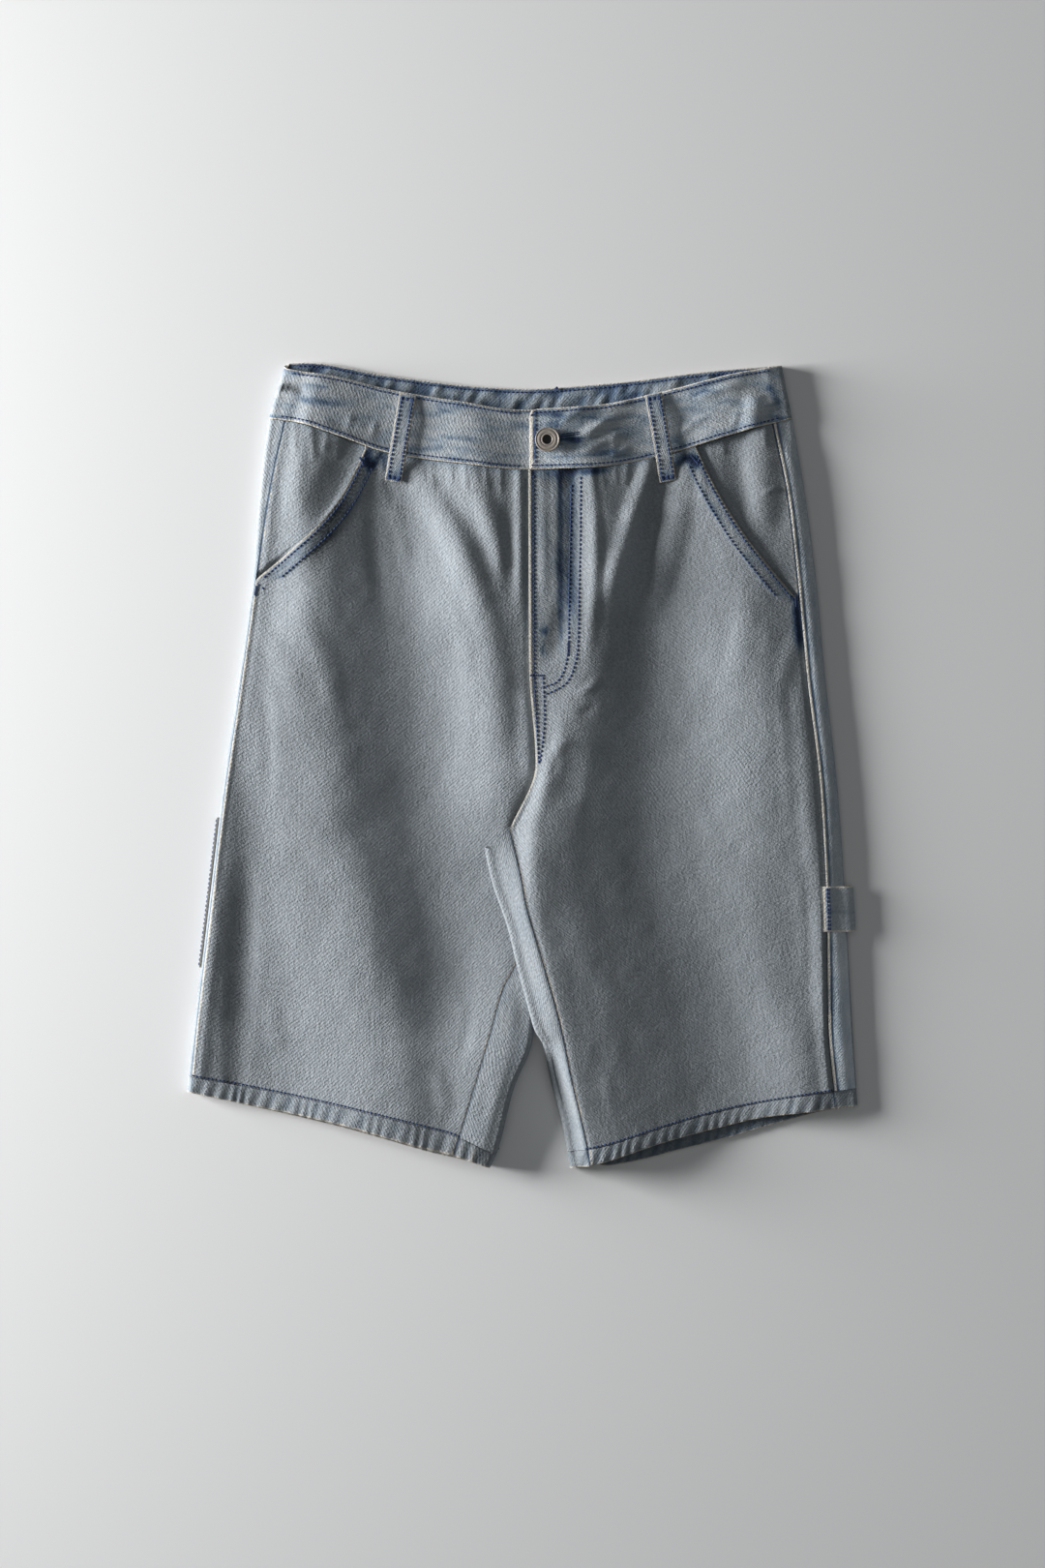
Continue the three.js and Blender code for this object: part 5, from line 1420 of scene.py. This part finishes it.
# %% Rows on the waistband, the straps and the back
def band_rows(parts, insets, raised=0.0):
    """Rows at a distance from the band's top edge, or from its seam where the distance is negative."""
    spots = BAND_POINTS + np.stack(np.broadcast_arrays(0, 0, raised), -1)
    down = run_of(BAND_POINTS, 0)
    rows = []
    for part in parts:
        columns = np.nonzero(BAND_NAMES[0] == part)[0][2:-2]
        for inset in insets:
            goal = [inset if inset > 0 else down[-1, k] + inset for k in columns]
            rows.append(np.array([[np.interp(g, down[:, k], spots[:, k, c]) for c in range(3)]
                                  for g, k in zip(goal, columns)]))
    return rows


def on_band(xs, ys):
    xs, ys = np.asarray(xs, float), np.asarray(ys, float)
    return np.stack([xs, ys, band_over(xs, ys) + band_relief(xs, ys)], 1)


LOOP_ROW = 3.7


def loop_rows(place):
    _, across = loop_frame(place)
    t = np.linspace(0.03, 0.97, 40)
    x, y, z = loop_line(place, t)
    return [np.stack([x + across[0] * s, y + across[1] * s, z + 0.2], 1) for s in (-LOOP_ROW, LOOP_ROW)]


def bar_tack(centre, across, width, rows=5, gap=0.5):
    half = np.array([*across, 0.0]) * width / 2
    down = np.array([-across[1], across[0], 0.0])
    middles = [centre + down * gap * (k - rows / 2) for k in range(rows)]
    return [np.array([middle - half, middle + half]) for middle in middles]


LAP_ROW = on_band(np.full(40, 9.2), np.linspace(199, 232, 40))
sew("waistband_stitches", [*band_rows(("under", "over"), (2.6, -2.6)), LAP_ROW])
sew("waistband_inner_stitches", band_rows(("back",), (2.4,), BAND_WALLS))
sew("waistband_back_stitches", band_rows(("back",), (2.6, -2.6), 0.2), up=(0, 0, -1))
HOLE_ROWS = [on_band(np.linspace(26, 38, 14), np.linspace(y, y + 1.6, 14)) for y in (216.9, 218.2)]
sew("buttonhole_stitches", HOLE_ROWS, pitch=0.9, length=1.2, radius=0.42)
KNOT = bar_tack(np.array([23.0, 250.5, 3.3]), (0.8, 0.6), 2.4, 3)
sew("band_knot", KNOT, pitch=2.4, length=2.6, radius=0.4)
for name, place in LOOP_PLACES.items():
    sew("belt_loop_" + name + "_stitches", loop_rows(place))
    tacks = []
    for t in (0.05, 0.95):
        x, y, z = loop_line(place, t)
        tacks += bar_tack(np.array([x, y, float(z) + 0.15]), loop_frame(place)[1], 9)
    sew("belt_loop_" + name + "_tacks", tacks, pitch=2.4, length=2.6, radius=0.34)

# %% [markdown]
# These rows are mostly out of sight, but the real ones run all the way round. They lie on the grids of their
# own pieces, so they can't float off the cloth.

# %% Rows on the hammer loop, the tool pocket and the undersides of the hems
def under_hem(leg):
    start, end = edge_at(leg["edge"], -215) - leg["side"] * 6, float(floor_end(leg, np.array(-235.0)))
    xs = np.linspace(start, end, 200)
    ys = look(leg["hem"], "x", "stitch", xs) - look(leg["hem"], "x", "backDrop", xs) + 1.4
    return np.stack([xs, ys, 0 * xs + 0.2], 1)


for name, leg in SIDES.items():
    sew("back_" + name + "_hem_stitches", [under_hem(leg)], up=(0, 0, -1))
loop_lines = [HAMMER_POINTS[2:-2, k] + [0, 0, 0.1] for k in (4, 5)]
sew("hammer_loop_stitches", loop_lines, pitch=2.4, length=2.0)
sew("tool_pocket_stitches", [TOOL_POINTS[2:-2, 3]], up=(-0.8, 0, 0.6))

# %% [markdown]
# The button is metal: a ring with a rolled rim, a recessed face and a centre hole painted near-black as
# painted shade, on a short shank. It starts as a cylinder and is shaped by insetting and extruding its top
# face, then rounded by a bevel.

# %% Button
SHANK_DEEP = 0.0012
BUTTON_STEPS = [dict(zip("inset rise".split(), row)) for row in (
    (0.0007, 0.0), (0.0003, -0.0003), (0.0003, 0.0), (0.0003, 0.0002), (0.0018, 0.0), (0.0003, -0.0002),
    (0.0003, 0.0002), (0.0008, 0.0), (0.0004, -0.0018))]


def select_faces(mesh, test):
    bpy.ops.object.mode_set(mode="OBJECT")
    for face in mesh.polygons:
        face.select = bool(test(face))
    bpy.ops.object.mode_set(mode="EDIT")


def make_button():
    low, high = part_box("button")
    b = {key: value * MM for key, value in BUTTON.items()}
    bpy.ops.object.select_all(action="DESELECT")
    depth = high.z - low.z - SHANK_DEEP
    place = ((low.x + high.x) / 2, (low.y + high.y) / 2, low.z + SHANK_DEEP + depth / 2)
    bpy.ops.mesh.primitive_cylinder_add(vertices=64, radius=b["radius"] - 0.0004, depth=depth, location=place)
    button = bpy.context.object
    button.name = "button_metal_ring"
    bpy.ops.object.transform_apply(location=True, rotation=True, scale=True)
    bpy.ops.object.mode_set(mode="EDIT")
    bpy.ops.mesh.select_mode(type="FACE")
    top = lambda face: face.normal.z > 0.9 and len(face.vertices) > 8
    select_faces(button.data, top)
    for step in BUTTON_STEPS:
        bpy.ops.mesh.inset(thickness=step["inset"])
        if step["rise"]:
            bpy.ops.transform.translate(value=(0, 0, step["rise"]))
    bottom = lambda face: face.normal.z < -0.9 and len(face.vertices) > 8
    select_faces(button.data, bottom)
    bpy.ops.mesh.inset(thickness=b["radius"] - b["shank"])
    bpy.ops.mesh.extrude_region_move(TRANSFORM_OT_translate={"value": (0, 0, -SHANK_DEEP)})
    bpy.ops.object.mode_set(mode="OBJECT")
    bevel = button.modifiers.new("round", "BEVEL")
    bevel.width, bevel.segments, bevel.limit_method, bevel.angle_limit = 0.0004, 3, "ANGLE", math.radians(35)
    bpy.ops.object.modifier_apply(modifier="round")
    bpy.ops.object.shade_smooth_by_angle(angle=math.radians(40))
    # Marks the hole in the middle, which the metal finish paints near-black as painted shade.
    hollow = button.data.attributes.new("hollow", "FLOAT", "POINT")
    for vertex, value in zip(button.data.vertices, hollow.data):
        far = math.hypot(vertex.co.x - place[0], vertex.co.y - place[1])
        value.value = float(far < b["hole"] + 0.0008 and vertex.co.z < high.z - 0.0006)
    PIECES["button"] = button
    print("button faces:", len(button.data.polygons))
    return button


BUTTON_PIECE = make_button()

# %% [markdown]
# Finishes. Shader sums are written as Python expressions: Wire holds a socket, and each operator adds the
# node for it. Finish makes any other node from its type, its settings and its inputs.

# %% Writing shader sums
class Wire:
    def __init__(self, finish, socket):
        self.finish, self.socket = finish, socket

    def maths(self, operation, *values):
        return self.finish.node("ShaderNodeMath", {"operation": operation}, dict(enumerate(values)))

    def __add__(self, other): return self.maths("ADD", self, other)
    def __radd__(self, other): return self.maths("ADD", other, self)
    def __sub__(self, other): return self.maths("SUBTRACT", self, other)
    def __rsub__(self, other): return self.maths("SUBTRACT", other, self)
    def __mul__(self, other): return self.maths("MULTIPLY", self, other)
    def __rmul__(self, other): return self.maths("MULTIPLY", other, self)


class Finish:
    def __init__(self, name):
        self.material = bpy.data.materials.new(name)
        self.material.use_nodes = True
        self.tree = self.material.node_tree
        self.tree.nodes.clear()

    def node(self, kind, settings=None, inputs=None, out=0):
        made = self.tree.nodes.new(kind)
        for key, value in (settings or {}).items():
            if key == "stops":
                self.set_stops(made.color_ramp, value)
            else:
                setattr(made, key, value)
        for key, value in (inputs or {}).items():
            if isinstance(value, Wire):
                self.tree.links.new(value.socket, made.inputs[key])
            else:
                made.inputs[key].default_value = value
        return Wire(self, made.outputs[out])

    def set_stops(self, ramp_data, stops):
        while len(ramp_data.elements) < len(stops):
            ramp_data.elements.new(0.5)
        for element, (place, colour) in zip(ramp_data.elements, stops):
            element.position, element.color = place, srgb(*colour)

    def mark(self, name):
        return self.node("ShaderNodeAttribute", {"attribute_name": name}, out="Fac")

    def between(self, value, low, high):
        return self.node("ShaderNodeMapRange", {"interpolation_type": "SMOOTHSTEP"},
                         {"Value": value, "From Min": low, "From Max": high})

    def noise(self, where, scale, detail=2.0, rough=0.5):
        return self.node("ShaderNodeTexNoise", {},
                         {"Vector": where, "Scale": scale, "Detail": detail, "Roughness": rough})

    def mix(self, share, a, b, way="MIX"):
        made = self.tree.nodes.new("ShaderNodeMix")
        made.data_type, made.blend_type = "RGBA", way
        for key, value in ((0, share), (6, a), (7, b)):
            if isinstance(value, Wire):
                self.tree.links.new(value.socket, made.inputs[key])
            else:
                made.inputs[key].default_value = value
        return Wire(self, made.outputs[2])

    def surface(self, **inputs):
        constants = {key.replace("_", " "): value for key, value in inputs.items()}
        shader = self.node("ShaderNodeBsdfPrincipled", {}, constants)
        output = self.tree.nodes.new("ShaderNodeOutputMaterial")
        self.tree.links.new(shader.socket, output.inputs["Surface"])
        return self.material


def srgb(r, g, b):
    line = lambda c: (c / 255 / 12.92) if c <= 10 else ((c / 255 + 0.055) / 1.055) ** 2.4
    return line(r), line(g), line(b), 1.0


# %% [markdown]
# Washed denim: what is left of the indigo decides the colour, so one ramp goes from the pale washed cloth
# to navy, and the "dye" mark plus streaks and mottling picks the place on it. Worn edges go to cream on
# top. Then the colour is darkened or lightened by the mark that holds uneven wash and painted light and
# shade, and by the nap. The surface is a short nap over a twill weave, made as bump from two noises and a
# fine diagonal line.

# %% The denim finish
INDIGO = ((0.0, (150, 155, 159)), (0.25, (126, 136, 145)), (0.55, (82, 98, 117)), (0.8, (49, 64, 90)),
          (1.0, (28, 38, 58)))
CREAM = (180, 175, 166)
MOTTLE, STREAKS, NAP_SHADE, NAP_DEEP = 0.2, 0.85, 1.3, 0.0009


def denim_finish():
    f = Finish("washed_denim")
    cloth = f.node("ShaderNodeUVMap", {"uv_map": "cloth"}, out="UV")
    stretch = lambda x, y: f.node("ShaderNodeMapping", {}, {"Vector": cloth, "Scale": (x, y, 1.0)})
    streak, fall, dye, edge, tone = (f.mark(name) for name in ("streak", "fall", "dye", "edge", "tone"))
    nap = f.noise(cloth, 560.0, 3.0, 0.65)
    blotch = f.noise(cloth, 130.0, 4.0, 0.62)
    across = f.noise(stretch(0.28, 1.0), 190.0, 4.0, 0.6)
    down = f.noise(stretch(1.0, 0.22), 230.0, 4.0, 0.6)
    wash = dye + (nap - 0.5) * MOTTLE + (blotch - 0.5) * MOTTLE
    wash = wash + (across - 0.5) * streak * STREAKS + (down - 0.5) * fall * STREAKS
    colour = f.node("ShaderNodeValToRGB", {"stops": INDIGO}, {"Fac": f.between(wash + 0.12, -0.05, 1.05)},
                    out="Color")
    # Painted light and shade: the mark of wash and painted light darkens or lightens the colour, with the
    # nap's grain.
    grain_and_painted_light = 1 - tone + (nap - 0.5) * NAP_SHADE
    worn = f.between(edge + (blotch - 0.5) * 1.5, 0.4, -0.4)
    both = f.mix(worn, colour, srgb(*CREAM))
    shade = f.node("ShaderNodeCombineColor", {}, {"Red": grain_and_painted_light, "Green": grain_and_painted_light, "Blue": grain_and_painted_light})
    final = f.mix(1.0, both, shade, "MULTIPLY")
    twill = f.node("ShaderNodeTexWave", {"wave_type": "BANDS", "bands_direction": "DIAGONAL"},
                   {"Vector": cloth, "Scale": 260.0, "Distortion": 1.5, "Detail": 1.0})
    height = nap + blotch * 0.6 + twill * 0.12
    bump = f.node("ShaderNodeBump", {}, {"Strength": 1.0, "Distance": NAP_DEEP, "Height": height})
    return f.surface(Base_Color=final, Roughness=0.92, Normal=bump, Specular_IOR_Level=0.15, Sheen_Weight=0.1,
                     Sheen_Roughness=0.5)


def thread_finish():
    f = Finish("navy_thread")
    where = f.node("ShaderNodeTexCoord", {}, out="Object")
    colour = f.mix(f.noise(where, 300.0), srgb(30, 44, 78), srgb(62, 80, 120))
    return f.surface(Base_Color=colour, Roughness=0.75, Specular_IOR_Level=0.3)


def metal_finish():
    f = Finish("aged_metal")
    where = f.node("ShaderNodeTexCoord", {}, out="Object")
    cloudy = f.noise(where, 420.0, 4.0, 0.65)
    hollow = f.mark("hollow")
    worn = f.mix(cloudy, srgb(132, 124, 117), srgb(186, 177, 168))
    # Painted shade: the hole in the middle is coloured near-black, standing in for the shadow inside it.
    colour = f.mix(hollow, worn, srgb(12, 11, 11))
    bump = f.node("ShaderNodeBump", {}, {"Strength": 0.2, "Distance": 0.0002, "Height": cloudy})
    rough = cloudy * 0.2 + 0.38
    return f.surface(Base_Color=colour, Metallic=0.5 - hollow * 0.5, Roughness=rough, Normal=bump)


DENIM, THREAD, METAL = denim_finish(), thread_finish(), metal_finish()
for piece in PIECES.values():
    piece.data.materials.append(METAL if piece == BUTTON_PIECE else DENIM)
for piece in THREADS.values():
    piece.data.materials.append(THREAD)
print("finishes:", [m.name for m in (DENIM, THREAD, METAL)])

# %% [markdown]
# Every cloth piece stands for its solid, rides with the part and prints the size that it was cut to. The
# cut is measured on the outside of the cloth: its greatest width and length, and its area.

# %% Ride, replace, print the cut
REPLACES = {
    "front_right_cloth": "front_right", "front_left_cloth": "front_left",
    "facing_right_cloth": "pocket_facing_right", "facing_left_cloth": "pocket_facing_left",
    "back_right_cloth": "back_right", "back_left_cloth": "back_left", "hem_right_cloth": "hem_right",
    "hem_left_cloth": "hem_left", "waistband_cloth": "waistband",
    "belt_loop_right_cloth": "belt_loop_right", "belt_loop_left_cloth": "belt_loop_left",
    "hammer_loop_cloth": "hammer_loop", "tool_pocket_cloth": "tool_pocket"}
CUTS = {
    "front_right_cloth": (0.225, 0.470), "front_left_cloth": (0.235, 0.480),
    "facing_right_cloth": (0.072, 0.115), "facing_left_cloth": (0.070, 0.125),
    "back_right_cloth": (0.290, 0.490), "back_left_cloth": (0.320, 0.490),
    "hem_right_cloth": (0.460, 0.0125), "hem_left_cloth": (0.480, 0.0115),
    "waistband_cloth": (0.740, 0.040), "belt_loop_right_cloth": (0.0115, 0.060),
    "belt_loop_left_cloth": (0.0115, 0.060), "hammer_loop_cloth": (0.048, 0.030),
    "tool_pocket_cloth": (0.104, 0.0994)}


def outside_area(piece):
    areas = np.zeros(len(piece.data.polygons))
    piece.data.polygons.foreach_get("area", areas)
    return float(areas.sum()) / 2


for name, node in REPLACES.items():
    piece = PIECES[name]
    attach(piece, "root")
    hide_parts(node)
    area = outside_area(piece)
    width, length = CUTS[name]
    share = round(area / width / length, 3)
    print(name, "half its surface:", round(area, 4), "cut:", CUTS[name], "share:", share)
for piece in THREADS.values():
    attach(piece, "root")
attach(BUTTON_PIECE, "root")
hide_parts("button")

# %% [markdown]
# The table, the light and the camera. The picture is taken straight down. One large lamp stands low on the
# left, so each crease has a bright and a dark side and the shorts throw a wide soft shadow to the right.

# %% Table, lamps and camera
VIEW = {"x": 0.64, "y": -12.2, "width": 691.2, "lens": 100.0, "sensor": 36.0, "above": 10.0}
TABLE_TOP = {"wide": 8, "height": -0.0004, "colour": (231, 231, 231), "rough": 0.9}
ROOM = {"colour": (0.92, 1, 1.04, 1), "strength": 0.075}
LAMPS = [dict(zip("name place size power".split(), row)) for row in (
    ("low_window", (-2.1, 0.35, 0.46), (0.9, 0.8), 137),
    ("ceiling", (0, 0, 2.6), (3.0, 3.0), 8))]


def make_table():
    bpy.ops.object.select_all(action="DESELECT")
    bpy.ops.mesh.primitive_plane_add(size=TABLE_TOP["wide"], location=(0, 0, TABLE_TOP["height"]))
    floor = bpy.context.object
    floor.name = "table_top"
    bpy.ops.object.transform_apply(location=True)
    f = Finish("pale_table")
    finish = f.surface(Base_Color=srgb(*TABLE_TOP["colour"]), Roughness=TABLE_TOP["rough"])
    floor.data.materials.append(finish)


def make_lamp(name, place, size, power):
    """A flat lamp that points at the middle of the table."""
    data = bpy.data.lights.new(name, "AREA")
    data.shape, data.energy = "RECTANGLE", power
    data.size, data.size_y = size
    lamp = bpy.data.objects.new(name, data)
    bpy.context.scene.collection.objects.link(lamp)
    lamp.location = place
    lamp.rotation_euler = (Vector((0, 0, 0)) - Vector(place)).to_track_quat("-Z", "Y").to_euler()


def light_room():
    for row in LAMPS:
        make_lamp(**row)
    world = bpy.data.worlds.new("room")
    bpy.context.scene.world = world
    world.use_nodes = True
    air = world.node_tree.nodes["Background"]
    air.inputs["Color"].default_value = ROOM["colour"]
    air.inputs["Strength"].default_value = ROOM["strength"]
    bpy.context.scene.view_settings.view_transform = "Standard"
    print("lamps:", [row["name"] for row in LAMPS])


def make_camera():
    data = bpy.data.cameras.new("camera")
    data.sensor_fit, data.sensor_width, data.lens = "HORIZONTAL", VIEW["sensor"], VIEW["lens"]
    away = VIEW["width"] * VIEW["lens"] / VIEW["sensor"]
    camera = bpy.data.objects.new("camera", data)
    camera.location = (np.array([VIEW["x"], VIEW["y"], VIEW["above"] + away]) + MOVED) * MM
    bpy.context.scene.collection.objects.link(camera)
    bpy.context.scene.camera = camera
    print("camera at", [round(c, 3) for c in camera.location])


make_table()
light_room()
make_camera()
